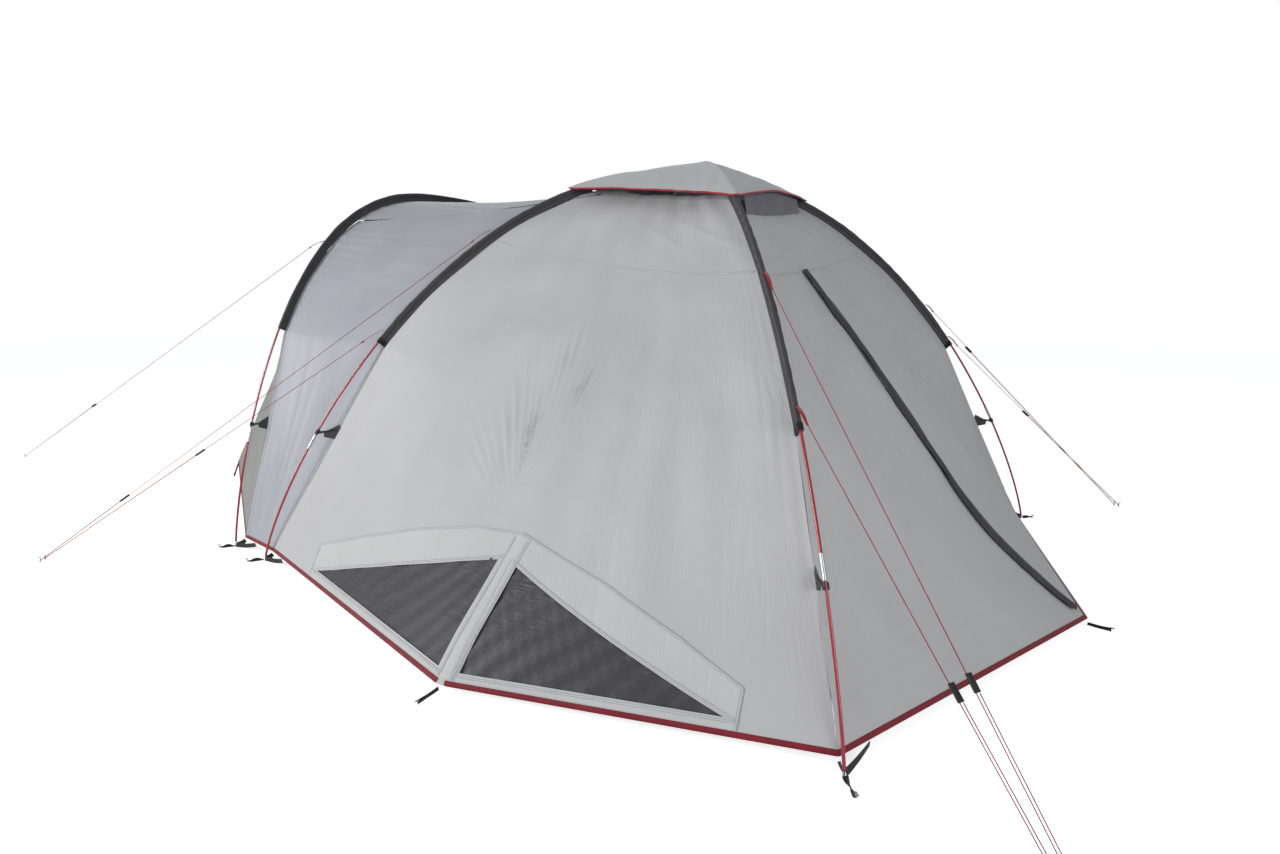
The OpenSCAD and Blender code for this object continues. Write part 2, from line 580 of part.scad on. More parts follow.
// Guy tabs start on the pole or its sleeve and end where their lines are tied
function tied(i, a, share) = leg_pt(i, a) * share;
tie = [
    hoop_pt(-ridge_deg) + [-79, -22, -10], tied(2, 30.3, 1.011), tied(2, 47.6, 1.028),
    tied(0, 39.6, 1.015), tied(0, 52.9, 1.028), tied(1, 41.6, 1.012), tied(1, 47.8, 1.014)
];
// The sleeve of the upper pole stands out further
on_sleeve = 1.0085;
on_upper = 1.013;
tab_root = [
    hoop_pt(-28.8) + [-14, -10, 11], tied(2, 27.8, on_sleeve), tied(2, 45.1, on_sleeve),
    tied(0, 37.4, on_upper), tied(0, 51.2, on_upper), tied(1, 40.3, on_sleeve), tied(1, 46, on_sleeve)
];
runner_share = [0.677, 0.806, 0.509, 0.748, 0.648, 0.18, 0.398];
// Two lines with one anchor stand on either side of it
line_offset = [0, 10, -20, 10, -20, 10, -20];
line_clear = 6;
turn_r = 5;
line_low = 9;
runner_len = 44;
runner_t = 8;
function line_dir(k) = unit(line_end(k) - tie[k]);
function flat_side(k) = let (d = anchor[k] - tie[k]) unit([-d.y, d.x, 0]);
function line_end(k) = anchor[k] + flat_side(k) * line_offset[k] + [0, 0, line_low];
function runner_at(k) = mix(tie[k], line_end(k), runner_share[k]);
// Down from the tie, round the peg, and back up to the runner
function line_path(k) = let (s = flat_side(k), d = line_dir(k), e = line_end(k)) concat(
    [tie[k] + d * line_clear],
    [for (a = [0:30:180]) e + s * turn_r * (1 - cos(a)) + d * turn_r * sin(a)],
    [runner_at(k) + s * 2 * turn_r + d * (runner_len / 2 + 2)]
);
module guy_line(k) color("crimson") place() tube(line_path(k), line_d, 8);
module runner(k) color("black") place() along(
    runner_at(k) - line_dir(k) * runner_len / 2, runner_at(k) + line_dir(k) * runner_len / 2
) difference() {
    union() {
        translate([-runner_t / 2, 0, 0]) cube([runner_t, 2 * turn_r, runner_len]);
        for (y = [0, 2 * turn_r]) translate([0, y, 0]) cylinder(d = runner_t, h = runner_len, $fn = 32);
    }
    for (y = [0, 2 * turn_r]) translate([0, y, -1])
        cylinder(d = line_d + 1.6, h = runner_len + 2, $fn = 24);
}
module guy_tabs() color(trim) place() for (k = [0:6]) strap(tab_root[k], tie[k], 10, 3);
module guy_pegs() color("lightgray") place() for (k = [0:6]) {
    m = line_end(k) + flat_side(k) * turn_r;
    rotate_to([m.x, m.y, 0], line_dir(k)) {
        cylinder(d = peg_d - 0.5, h = peg_h + 8, $fn = 20);
        translate([0, 0, peg_h + 8]) rotate([0, 90, 0]) cylinder(d = peg_d - 0.5, h = hook_len, $fn = 20);
    }
}
module guy_line_1() guy_line(0);
module guy_line_2() guy_line(1);
module guy_line_3() guy_line(2);
module guy_line_4() guy_line(3);
module guy_line_5() guy_line(4);
module guy_line_6() guy_line(5);
module guy_line_7() guy_line(6);
module runner_1() runner(0);
module runner_2() runner(1);
module runner_3() runner(2);
module runner_4() runner(3);
module runner_5() runner(4);
module runner_6() runner(5);
module runner_7() runner(6);

dome_pole_a();
dome_pole_b();
porch_pole();
pole_ferrules();
pole_foot_pins();
near_rear_sleeve();
far_rear_sleeve();
near_front_sleeve();
far_front_sleeve();
porch_sleeve();
roof_cap();
vent_mesh();
near_side_panel();
far_side_panel();
near_window_mesh();
far_window_mesh();
rear_near_panel();
rear_far_panel();
rear_door_leaf();
porch_near_wall();
porch_far_wall();
porch_roof();
porch_front_near();
porch_front_far();
porch_front_top();
porch_door_leaf();
hem_tape();
inner_tent();
inner_front_wall();
groundsheet();
inner_toggles();
rear_zip_coil();
rear_zip_flap();
rear_zip_slider();
rear_zip_puller();
pole_clips();
foot_straps();
peg_straps();
hook_pegs();
guy_tabs();
guy_pegs();
guy_line_1();
guy_line_2();
guy_line_3();
guy_line_4();
guy_line_5();
guy_line_6();
guy_line_7();
runner_1();
runner_2();
runner_3();
runner_4();
runner_5();
runner_6();
runner_7();
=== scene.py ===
import math
import bmesh
import bpy
import numpy as np
from mathutils import Matrix, Vector


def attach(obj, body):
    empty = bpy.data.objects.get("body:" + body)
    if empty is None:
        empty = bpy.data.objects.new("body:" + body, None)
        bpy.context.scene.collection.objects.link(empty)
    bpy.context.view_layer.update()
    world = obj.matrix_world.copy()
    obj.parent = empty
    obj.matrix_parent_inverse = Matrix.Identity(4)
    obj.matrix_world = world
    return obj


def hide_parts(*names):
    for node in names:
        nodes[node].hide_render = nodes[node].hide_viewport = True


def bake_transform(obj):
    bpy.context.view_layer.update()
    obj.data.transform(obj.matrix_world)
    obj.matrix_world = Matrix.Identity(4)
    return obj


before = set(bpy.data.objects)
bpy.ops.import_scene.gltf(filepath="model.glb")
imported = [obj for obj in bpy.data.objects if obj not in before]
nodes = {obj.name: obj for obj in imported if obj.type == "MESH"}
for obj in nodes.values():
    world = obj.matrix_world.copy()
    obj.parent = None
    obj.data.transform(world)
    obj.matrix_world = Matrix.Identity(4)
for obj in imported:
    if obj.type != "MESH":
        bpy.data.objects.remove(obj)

bpy.ops.object.select_all(action="DESELECT")
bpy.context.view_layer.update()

# the tent's own shape, in metres around the middle of the dome
tent = {"shift": 0.6825, "crown": 1.782, "crownRise": 0.018, "crownRound": 12, "footX": 1.348, "footY": 1.431,
        "legFall": 1.58, "poleGap": 0.0053, "rodEnd": 86.5, "tuck": 0.979}
hoop = {"x": 1.652, "y": 1.411, "z": 1.796, "fall": 1.5, "spread": 0.69, "sleeveEnd": 46,
        "roof": 20, "ridge": 29.4, "ferrule": 63.5}
legSide = [(1, -1), (1, 1), (-1, -1), (-1, 1)]
legs = {"cap": [25.5, 17.6, 16.8, 17], "seam": [36, 28, 28, 28], "sleeveEnd": [53, 47, 46.5, 46.5],
        "ferrule": [64.6, 59.6, 62, 62],
        "hidden": (10.1, 24.5, 41.8)}
hem = [np.array(p) for p in ([1.325, -1.415, 0.045], [1.3, 1.44, 0.045],
                             [-1.32, -1.405, 0.045], [-1.32, 1.405, 0.045])]
porchHem = np.array([-1.61, 1.38, 0.05])
nose = np.array([-3.13, 0.657, 0.12])
sidePeg = np.array([0.224, 1.745, 0.03])
rearPeg = np.array([1.765, -0.04, 0.024])
panel = {"sideMid": 0.584, "rearMid": 0.49, "zipTop": 0.389, "sleeveV": 0.36, "seamV": 0.74,
         "sideSag": 0.038, "rearSag": 0.03, "porchSag": 0.054, "roofSag": 0.018, "roofArch": 0.06}


def mix(a, b, t):
    return a + (b - a) * t


def unit(v):
    return v / np.maximum(np.linalg.norm(v, axis=-1, keepdims=True), 1e-9)


def xyz(x, y, z):
    return np.stack(np.broadcast_arrays(x, y, z), -1)


def legPoint(i, deg, lift=0.0):
    a = np.radians(deg)
    rise = 1 - np.exp(-(np.asarray(deg, float) / tent["crownRound"]) ** 2)
    crown = tent["crown"] + lift + tent["crownRise"] * rise
    return xyz(legSide[i][0] * tent["footX"] * np.sin(a), legSide[i][1] * tent["footY"] * np.sin(a),
               crown * np.maximum(np.cos(a), 0) ** tent["legFall"])


def legLift(i):
    return tent["poleGap"] if i in (0, 3) else -tent["poleGap"]


def hoopPoint(deg):
    a = np.radians(deg)
    s = np.sin(a)
    return xyz(-hoop["x"], hoop["y"] * np.sign(s) * np.abs(s) ** hoop["spread"],
               hoop["z"] * np.maximum(np.cos(a), 0) ** hoop["fall"])


def hoopFly(deg):
    return hoopPoint(deg) * np.array([1, tent["tuck"], tent["tuck"]])


def legFly(i, deg):
    return tent["tuck"] * legPoint(i, deg)


def legRail(i, v):
    v = np.asarray(v, float)
    beyond = legs["cap"][i] - (legs["seam"][i] - legs["cap"][i]) * 0.2 / (1 - panel["seamV"])
    deg = np.interp(v, [panel["sleeveV"], panel["seamV"], 1, 1.2],
                    [legs["sleeveEnd"][i], legs["seam"][i], legs["cap"][i], beyond])
    low = mix(hem[i], legFly(i, legs["sleeveEnd"][i]), v[..., None] / panel["sleeveV"])
    return np.where((v < panel["sleeveV"])[..., None], low, legFly(i, deg))


# away from its edges the cloth bridges the bends of the rail
def calmRail(i, u, v):
    loose = sum(legRail(i, v + d) for d in (-0.14, -0.07, 0, 0.07, 0.14)) / 5
    return mix(legRail(i, v), loose, np.minimum(1, 1.6 * bow(u))[..., None])


def eased(t):
    t = np.clip(t, 0, 1)
    return t * t * (3 - 2 * t)


def porchFoot(s):
    return porchHem * np.array([1, s, 1])


def hoopRail(s, v, turn, top):
    v = np.asarray(v, float)
    low = mix(porchFoot(s), hoopFly(s * hoop["sleeveEnd"]), v[..., None] / turn)
    high = hoopFly(s * mix(hoop["sleeveEnd"], top, (v - turn) / (1 - turn)))
    return np.where((v < turn)[..., None], low, high)


def ridgeRail(s, v):
    return mix(nose * np.array([1, s, 1]), hoopFly(s * hoop["ridge"]), np.asarray(v, float)[..., None])


def peak(u, m):
    return np.where(u < m, u / m, (1 - u) / (1 - m))


def bow(u):
    return 4 * u * (1 - u)


def sideMid(v):
    return panel["sideMid"] + 0.125 * np.minimum(v, 0.2)


def sideSurface(s):
    a, b = (2, 0) if s < 0 else (3, 1)
    pull = sidePeg[1] - abs(mix(hem[2], hem[0], panel["sideMid"])[1])

    def surface(u, v):
        low = 1 - np.clip(v / 0.62, 0, 1)
        sag = panel["sideSag"] * bow(u) * eased(v / 0.7) * (1 - 0.7 * eased((v - 0.72) / 0.28))
        m = peak(u, sideMid(v))
        return (mix(calmRail(a, u, v), calmRail(b, u, v), u[..., None])
                + xyz(0 * u, s * (pull * m * low ** 1.6 - sag),
                      -sag - (1 - np.clip(v / 0.05, 0, 1)) * 0.015 * m))
    return surface


def rearMid(v):
    return mix(panel["rearMid"], panel["zipTop"], np.clip(v / panel["seamV"], 0, 1) ** 0.6)


rearPull = rearPeg[0] - mix(hem[0], hem[1], panel["rearMid"])[0]


def rearSurface(u, v):
    low = 1 - np.clip(v / panel["seamV"], 0, 1)
    sag = panel["rearSag"] * bow(u) * eased(v / 0.8) * (1 - 0.7 * eased((v - 0.76) / 0.24))
    m = peak(u, rearMid(v))
    pull = rearPull * (0.66 * low ** 2.5 + 0.34 * low ** 12)
    return (mix(calmRail(0, u, v), calmRail(1, u, v), u[..., None])
            + xyz(pull * m - sag, 0 * u, -sag - (1 - np.clip(v / 0.05, 0, 1)) * 0.021 * m))


def porchWallSurface(s):
    def surface(u, v):
        c = np.clip(v, 0, 1)
        belly = panel["porchSag"] * bow(u) * bow(c)
        return (mix(hoopRail(s, v, panel["sleeveV"], hoop["roof"]), legRail(2 if s < 0 else 3, v),
                    u[..., None])
                + xyz(0 * u, -0.25 * s * belly, -0.2 * belly - panel["roofSag"] * bow(u) * c ** 3))
    return surface


def porchRoofSurface(u, v):
    edge = mix(legRail(2, np.ones_like(u)), legRail(3, np.ones_like(u)), u[..., None])
    return (mix(hoopFly(mix(-hoop["roof"], hoop["roof"], u)), edge, v[..., None])
            + xyz(0 * u, 0 * u, -panel["roofSag"] * bow(v) + panel["roofArch"] * v * bow(u)))


def porchFacetSurface(s):
    return lambda u, v: mix(ridgeRail(s, v), hoopRail(s, v, 0.6, hoop["ridge"]), u[..., None])


def porchFrontSurface(u, v):
    a = mix(-hoop["ridge"], hoop["ridge"], u)
    crown = hoopFly(a) - mix(hoopFly(-hoop["ridge"]), hoopFly(hoop["ridge"]), u[..., None])
    return (mix(ridgeRail(-1, v), ridgeRail(1, v), u[..., None]) + crown * (v * v)[..., None]
            + xyz(-0.06 * bow(u) * (1 - v), 0 * u, 0 * u))


def capCorner(i, r):
    return legPoint(i, r * legs["cap"][i]) * (1 + 0.001 * r)[..., None] + xyz(0 * r, 0 * r,
            0.0125 + (legLift(i) - 0.0015) * r)


def capSurface(u, v):
    a, b = 2 * u - 1, 2 * v - 1
    r = np.maximum(np.maximum(np.abs(a), np.abs(b)), 1e-4)
    s, t = (a / r + 1) / 2, (b / r + 1) / 2
    corner = [capCorner(i, r) for i in range(4)]
    pick = lambda test, p, q: np.where(test[..., None], p, q)
    across = mix(pick(b < 0, corner[2], corner[3]), pick(b < 0, corner[0], corner[1]), s[..., None])
    along = mix(pick(a < 0, corner[2], corner[0]), pick(a < 0, corner[3], corner[1]), t[..., None])
    hood = pick(a > 0, np.array([0.014, 0, 0.03]), np.array([0, 0, 0.034])) * (bow(t) * r * r)[..., None]
    return pick(np.abs(b) >= np.abs(a), across + xyz(0 * a, 0 * a, 0.014 * bow(s) * r), along + hood)


def place(p):
    return np.asarray(p, float) + np.array([tent["shift"], 0, 0])


def surfaceNormal(fn, u, v, out=1, step=0.004):
    u, v = np.asarray(u, float), np.asarray(v, float)
    return out * unit(np.cross(fn(u + step, v) - fn(u - step, v), fn(u, v + step) - fn(u, v - step)))


# camera
camera = {"lens": 20.4927, "place": (1.870, -3.060, 1.122), "azimuth": -35.016, "down": 8.816,
          "roll": -0.4186}


def makeCamera():
    az, pitch, roll = (math.radians(camera[k]) for k in ("azimuth", "down", "roll"))
    ahead = Vector((math.sin(az) * math.cos(pitch), math.cos(az) * math.cos(pitch), -math.sin(pitch)))
    right = Vector((math.cos(az), -math.sin(az), 0))
    up = right.cross(ahead)
    rightTurned = math.cos(roll) * right - math.sin(roll) * up
    upTurned = math.cos(roll) * up + math.sin(roll) * right
    data = bpy.data.cameras.new("studioCamera")
    data.lens, data.sensor_width, data.clip_end = camera["lens"], 36, 100
    o = bpy.data.objects.new("studioCamera", data)
    bpy.context.scene.collection.objects.link(o)
    m = Matrix((rightTurned, upTurned, -ahead)).transposed().to_4x4()
    m.translation = Vector(place(camera["place"]))
    o.matrix_world = m
    bpy.context.scene.camera = o


makeCamera()
print("camera placed")


# nodes and materials
def linear(hexColour):
    parts = [int(hexColour[i:i + 2], 16) / 255 for i in (1, 3, 5)]
    return [c / 12.92 if c <= 0.04045 else ((c + 0.055) / 1.055) ** 2.4 for c in parts] + [1]


def addNode(tree, kind, settings=None, links=None):
    node = tree.nodes.new("ShaderNode" + kind)
    for key, value in (settings or {}).items():
        if isinstance(key, int) or key in node.inputs:
            node.inputs[key].default_value = value
        else:
            setattr(node, key, value)
    for key, socket in (links or {}).items():
        tree.links.new(socket, node.inputs[key])
    return node


def startMaterial(name, shaderSettings):
    material = bpy.data.materials.new(name)
    material.use_nodes = True
    tree = material.node_tree
    shader = tree.nodes["Principled BSDF"]
    for key, value in shaderSettings.items():
        shader.inputs[key].default_value = value
    return material, tree, shader


def ramp(tree, socket, low, high, start=0.0, end=1.0):
    node = addNode(tree, "ValToRGB", links={"Fac": socket})
    node.color_ramp.elements[0].position, node.color_ramp.elements[0].color = start, low
    node.color_ramp.elements[1].position, node.color_ramp.elements[1].color = end, high
    return node.outputs["Color"]


def coordinates(tree, kind, scale=(1, 1, 1), turn=0.0):
    start = addNode(tree, "TexCoord")
    return addNode(tree, "Mapping", {"Scale": scale, "Rotation": (0, 0, turn)},
                   {"Vector": start.outputs[kind]}).outputs["Vector"]


# tent cloth: fine plain weave, soft creases, patches of slightly different tone
def clothMaterial(name, s):
    material, tree, shader = startMaterial(name, {
        "Roughness": s["rough"], "Sheen Weight": s["sheen"], "Sheen Roughness": 0.35,
        "Specular IOR Level": s.get("specular", 0.35)})
    uv = coordinates(tree, "UV")
    mottle = addNode(tree, "TexNoise", {"Scale": 1.7, "Detail": 4.0, "Roughness": 0.55}, {"Vector": uv})
    patches = ramp(tree, mottle.outputs["Fac"], linear(s["dark"]), linear(s["light"]), 0.32, 0.68)
    threadX = addNode(tree, "TexWave", {"bands_direction": "X", "Scale": 314.16 / s["threadMm"]},
                      {"Vector": uv})
    threadY = addNode(tree, "TexWave", {"bands_direction": "Y", "Scale": 314.16 / s["threadMm"]},
                      {"Vector": uv})
    weave = addNode(tree, "Math", {"operation": "MULTIPLY"},
                    {0: threadX.outputs["Fac"], 1: threadY.outputs["Fac"]})
    tint = addNode(tree, "Mix", {"data_type": "RGBA", "blend_type": "MULTIPLY", 0: s.get("weaveTint", 0.08)},
                   {6: patches, 7: ramp(tree, weave.outputs[0], linear("#8A8A8A"), linear("#FFFFFF"))})
    tree.links.new(tint.outputs[2], shader.inputs["Base Color"])
    stretch = coordinates(tree, "UV", s.get("creaseScale", (26, 5, 1)), s.get("creaseTurn", 0.25))
    crease = addNode(tree, "TexNoise", {"Scale": 1.0, "Detail": 5.0, "Roughness": 0.6, "Distortion": 0.4},
                     {"Vector": stretch})
    centred = addNode(tree, "Math", {"operation": "SUBTRACT", 1: 0.5}, {0: crease.outputs["Fac"]})
    ridge = addNode(tree, "Math", {"operation": "ABSOLUTE"}, {0: centred.outputs[0]})
    where = addNode(tree, "TexNoise", {"Scale": 2.6, "Detail": 2.0}, {"Vector": uv})
    amount = addNode(tree, "MapRange", {"From Min": 0.4, "From Max": 0.66, "To Min": -0.3, "To Max": -2.2},
                     {"Value": where.outputs["Fac"]})
    folds = addNode(tree, "Math", {"operation": "MULTIPLY"},
                    {0: ridge.outputs[0], 1: amount.outputs["Result"]})
    bump = addNode(tree, "Bump", {"Strength": s["crease"], "Distance": 0.01}, {"Height": folds.outputs[0]})
    fine = addNode(tree, "Bump", {"Strength": s.get("weave", 0.12), "Distance": 0.0002},
                   {"Height": weave.outputs[0], "Normal": bump.outputs["Normal"]})
    tree.links.new(fine.outputs["Normal"], shader.inputs["Normal"])
    gloss = addNode(tree, "MapRange", {"To Min": s["rough"] - 0.06, "To Max": s["rough"] + 0.08},
                    {"Value": crease.outputs["Fac"]})
    tree.links.new(gloss.outputs["Result"], shader.inputs["Roughness"])
    return material


# woven tape: ribs across its length, a rolled edge, and two rows of stitches where asked
def tapeMaterial(name, s):
    material, tree, shader = startMaterial(name, {
        "Roughness": s["rough"], "Sheen Weight": s.get("sheen", 0.25), "Sheen Roughness": 0.4,
        "Specular IOR Level": 0.3})
    uv = coordinates(tree, "UV")
    rib = addNode(tree, "TexWave", {"bands_direction": "X", "Scale": 314.16 / s["ribMm"], "Distortion": 0.4,
                                    "Detail": 1.0}, {"Vector": uv})
    wear = addNode(tree, "TexNoise", {"Scale": 9.0, "Detail": 5.0}, {"Vector": uv})
    base = ramp(tree, wear.outputs["Fac"], linear(s["dark"]), linear(s["light"]), 0.3, 0.7)
    ribbed = addNode(tree, "Mix", {"data_type": "RGBA", "blend_type": "MULTIPLY", 0: s.get("ribTint", 0.3)},
                     {6: base, 7: ramp(tree, rib.outputs["Fac"], linear("#707070"), linear("#FFFFFF"))})
    colour, height = ribbed.outputs[2], rib.outputs["Fac"]
    if "stitch" in s:
        parts = addNode(tree, "SeparateXYZ", links={"Vector": uv})
        along = addNode(tree, "Math", {"operation": "MULTIPLY", 1: 1000 / s["stitchMm"]},
                        {0: parts.outputs["X"]})
        dash = addNode(tree, "Math", {"operation": "FRACT"}, {0: along.outputs[0]})
        inDash = addNode(tree, "Math", {"operation": "LESS_THAN", 1: 0.68}, {0: dash.outputs[0]})
        across = addNode(tree, "Math", {"operation": "ABSOLUTE"}, {0: parts.outputs["Y"]})
        off = addNode(tree, "Math", {"operation": "SUBTRACT", 1: s["rowMm"] / 1000}, {0: across.outputs[0]})
        near = addNode(tree, "Math", {"operation": "ABSOLUTE"}, {0: off.outputs[0]})
        inRow = addNode(tree, "Math", {"operation": "LESS_THAN", 1: 0.0006}, {0: near.outputs[0]})
        mask = addNode(tree, "Math", {"operation": "MULTIPLY"}, {0: inDash.outputs[0], 1: inRow.outputs[0]})
        thread = addNode(tree, "Mix", {"data_type": "RGBA", 7: linear(s["stitch"])},
                         {0: mask.outputs[0], 6: colour})
        colour = thread.outputs[2]
        height = addNode(tree, "Math", {"operation": "SUBTRACT"}, {0: height, 1: mask.outputs[0]}).outputs[0]
    tree.links.new(colour, shader.inputs["Base Color"])
    bump = addNode(tree, "Bump", {"Strength": s.get("bump", 0.35), "Distance": 0.0006}, {"Height": height})
    tree.links.new(bump.outputs["Normal"], shader.inputs["Normal"])
    return material


# moulded or metal parts, with a fine mottled grain
def solidMaterial(name, s):
    material, tree, shader = startMaterial(name, {
        "Roughness": s["rough"], "Metallic": s.get("metal", 0.0), "Coat Weight": s.get("coat", 0.0),
        "Coat Roughness": 0.12, "Specular IOR Level": s.get("specular", 0.5)})
    at = coordinates(tree, "Object", s.get("stretch", (1, 1, 1)))
    grain = addNode(tree, "TexNoise", {"Scale": s["grain"], "Detail": 6.0, "Roughness": 0.6}, {"Vector": at})
    tree.links.new(ramp(tree, grain.outputs["Fac"], linear(s["dark"]), linear(s["light"]), 0.3, 0.7),
                   shader.inputs["Base Color"])
    gloss = addNode(tree, "MapRange", {"To Min": s["rough"] - 0.07, "To Max": s["rough"] + 0.1},
                    {"Value": grain.outputs["Fac"]})
    tree.links.new(gloss.outputs["Result"], shader.inputs["Roughness"])
    bump = addNode(tree, "Bump", {"Strength": s["bump"], "Distance": 0.0004},
                   {"Height": grain.outputs["Fac"]})
    tree.links.new(bump.outputs["Normal"], shader.inputs["Normal"])
    return material


cloths = {
    "flyPolyester": {"light": "#BEBEBF", "dark": "#B6B6B7", "rough": 0.5, "sheen": 0.35, "threadMm": 0.5,
                     "crease": 0.32},
    "porchPolyester": {"light": "#A6A9AF", "dark": "#9C9FA6", "rough": 0.45, "sheen": 0.4, "threadMm": 0.5,
                       "crease": 0.4, "creaseTurn": 1.1},
    "bandPolyester": {"light": "#C4C4C4", "dark": "#BCBCBC", "rough": 0.55, "sheen": 0.3, "threadMm": 0.5,
                      "crease": 0.3, "creaseTurn": -0.6},
    "sleevePolyester": {"light": "#454244", "dark": "#353335", "rough": 0.6, "sheen": 0.3, "threadMm": 0.7,
                        "crease": 0.5, "creaseScale": (30, 14, 1), "weave": 0.25},
    "windowFilm": {"light": "#4E4D4F", "dark": "#434244", "rough": 0.42, "sheen": 0.1, "threadMm": 1.1,
                   "crease": 0.6, "creaseScale": (5, 22, 1), "creaseTurn": 0.5, "weave": 0.3,
                   "weaveTint": 0.35},
    # the porch cloth darkened with painted shade, for the porch facets and front that face away from the key
    # light
    "porchFrontPolyester": {"light": "#8F908D", "dark": "#858682", "rough": 0.5, "sheen": 0.3,
                            "threadMm": 0.5, "crease": 0.4, "creaseTurn": 1.1},
    "innerPolyester": {"light": "#D8D4C6", "dark": "#CCC8BA", "rough": 0.75, "sheen": 0.2, "threadMm": 0.5,
                       "crease": 0.4},
    "floorPolyester": {"light": "#5A6068", "dark": "#4C525A", "rough": 0.5, "sheen": 0.1, "threadMm": 0.9,
                       "crease": 0.5, "weaveTint": 0.25},
    "ventMesh": {"light": "#8B8B92", "dark": "#7C7C84", "rough": 0.7, "sheen": 0.1, "threadMm": 1.3,
                 "crease": 0.2, "weaveTint": 0.6, "weave": 0.5},
}
tapes = {
    "hemTape": {"light": "#8E1426", "dark": "#74101F", "rough": 0.6, "ribMm": 1.2, "stitch": "#5C0C18",
                "stitchMm": 3.2, "rowMm": 7.0},
    "capPiping": {"light": "#B01A2A", "dark": "#9A1422", "rough": 0.5, "ribMm": 1.1},
    "blackWebbing": {"light": "#222224", "dark": "#151516", "rough": 0.7, "ribMm": 1.6, "ribTint": 0.5,
                     "bump": 0.7, "stitch": "#3A3A3C", "stitchMm": 2.8, "rowMm": 7.5},
    "seamCloth": {"light": "#C9C9CA", "dark": "#BEBEBF", "rough": 0.55, "ribMm": 0.6, "ribTint": 0.06,
                  "stitch": "#8C8C8E", "stitchMm": 3.0, "rowMm": 2.6, "bump": 0.4},
    "guyCord": {"light": "#C03444", "dark": "#9C2230", "rough": 0.6, "ribMm": 1.5, "ribTint": 0.45,
                "bump": 0.8},
    "zipTeeth": {"light": "#1E1E20", "dark": "#111112", "rough": 0.4, "ribMm": 2.0, "ribTint": 0.6,
                 "bump": 1.0},
    "flapCloth": {"light": "#484749", "dark": "#3B3A3C", "rough": 0.6, "ribMm": 0.8, "ribTint": 0.15,
                  "stitch": "#2A2A2B", "stitchMm": 3.0, "rowMm": 15.0},
    "sleeveSeam": {"light": "#2E2D2E", "dark": "#262526", "rough": 0.65, "ribMm": 0.7, "stitch": "#565456",
                   "stitchMm": 3.0, "rowMm": 2.4},
}
solids = {
    "lacqueredGlassFibre": {"light": "#A81830", "dark": "#8E1226", "rough": 0.22, "grain": 60.0, "coat": 0.8,
                            "bump": 0.06, "stretch": (1, 1, 0.3)},
    "brushedSteel": {"light": "#D6D7D9", "dark": "#AEB0B4", "rough": 0.28, "metal": 1.0, "grain": 240.0,
                     "bump": 0.25, "stretch": (4, 4, 0.4)},
    "blackNylon": {"light": "#1C1C1E", "dark": "#121213", "rough": 0.42, "grain": 900.0, "bump": 0.3},
}
finishes = {}
for name, s in cloths.items():
    finishes[name] = clothMaterial(name, s)
for name, s in tapes.items():
    finishes[name] = tapeMaterial(name, s)
for name, s in solids.items():
    finishes[name] = solidMaterial(name, s)
print("materials made:", len(finishes))


def newObject(name, mesh, finish, body, replaced=()):
    o = bpy.data.objects.new(name, mesh)
    bpy.context.scene.collection.objects.link(o)
    mesh.materials.clear()
    mesh.materials.append(finishes[finish])
    if body:
        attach(o, body)
    if replaced:
        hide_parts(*replaced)
    return o


def select(o):
    bpy.ops.object.select_all(action="DESELECT")
    o.select_set(True)
    bpy.context.view_layer.objects.active = o


# a closed strip or tube: a profile of (across, up) points carried along a line
def sweep(name, line, normals, profile, finish, body="tent", replaced=(), smooth=50):
    line, normals = np.asarray(line, float), np.asarray(normals, float)
    count = len(line)
    tangent = unit(np.gradient(line, axis=0))
    across = unit(np.cross(tangent, normals))
    up = unit(np.cross(across, tangent))
    shapes = np.asarray(profile, float)
    if shapes.ndim == 2:
        shapes = np.repeat(shapes[None], count, 0)
    sides = shapes.shape[1]
    rings = line[:, None] + shapes[..., :1] * across[:, None] + shapes[..., 1:] * up[:, None]
    length = np.concatenate([[0], np.cumsum(np.linalg.norm(np.diff(line, axis=0), axis=1))])
    faces = [(k * sides + j, k * sides + (j + 1) % sides, (k + 1) * sides + (j + 1) % sides,
              (k + 1) * sides + j)
             for k in range(count - 1) for j in range(sides)]
    faces += [tuple(range(sides - 1, -1, -1)), tuple((count - 1) * sides + j for j in range(sides))]
    mesh = bpy.data.meshes.new(name)
    mesh.from_pydata(place(rings.reshape(-1, 3)).tolist(), [], faces)
    layer = mesh.uv_layers.new(name="along")
    for polygon in mesh.polygons:
        first = polygon.loop_start
        for loop in range(first, first + polygon.loop_total):
            k, j = divmod(mesh.loops[loop].vertex_index, sides)
            layer.data[loop].uv = (length[k], shapes[k, j, 0])
    mesh.update()
    work = bmesh.new()
    work.from_mesh(mesh)
    bmesh.ops.recalc_face_normals(work, faces=work.faces)
    work.to_mesh(mesh)
    work.free()
    o = newObject(name, mesh, finish, body, replaced)
    select(o)
    bpy.ops.object.shade_smooth_by_angle(angle=math.radians(smooth))
    o.select_set(False)
    return o


def roundProfile(diameter, sides=12):
    a = np.linspace(0, 2 * np.pi, sides, endpoint=False)
    return np.stack([np.cos(a), np.sin(a)], 1) * diameter / 2


def tapeProfile(width, thick, lift=0.0):
    w, t = width / 2, thick
    return np.array([(-w, lift), (-w, lift + t * 0.7), (-w + t * 0.5, lift + t), (w - t * 0.5, lift + t),
                     (w, lift + t * 0.7), (w, lift)])


def steadyNormals(line):
    tangent = unit(np.gradient(line, axis=0))
    normal = np.array([0, 0, 1.0]) if abs(tangent[0][2]) < 0.9 else np.array([0, 1.0, 0])
    made = []
    for t in tangent:
        normal = unit(normal - (normal @ t) * t)
        made.append(normal)
    return np.array(made)


def joinPieces(first, others):
    select(first)
    for o in others:
        o.select_set(True)
    bpy.ops.object.join()
    first.select_set(False)
    return first


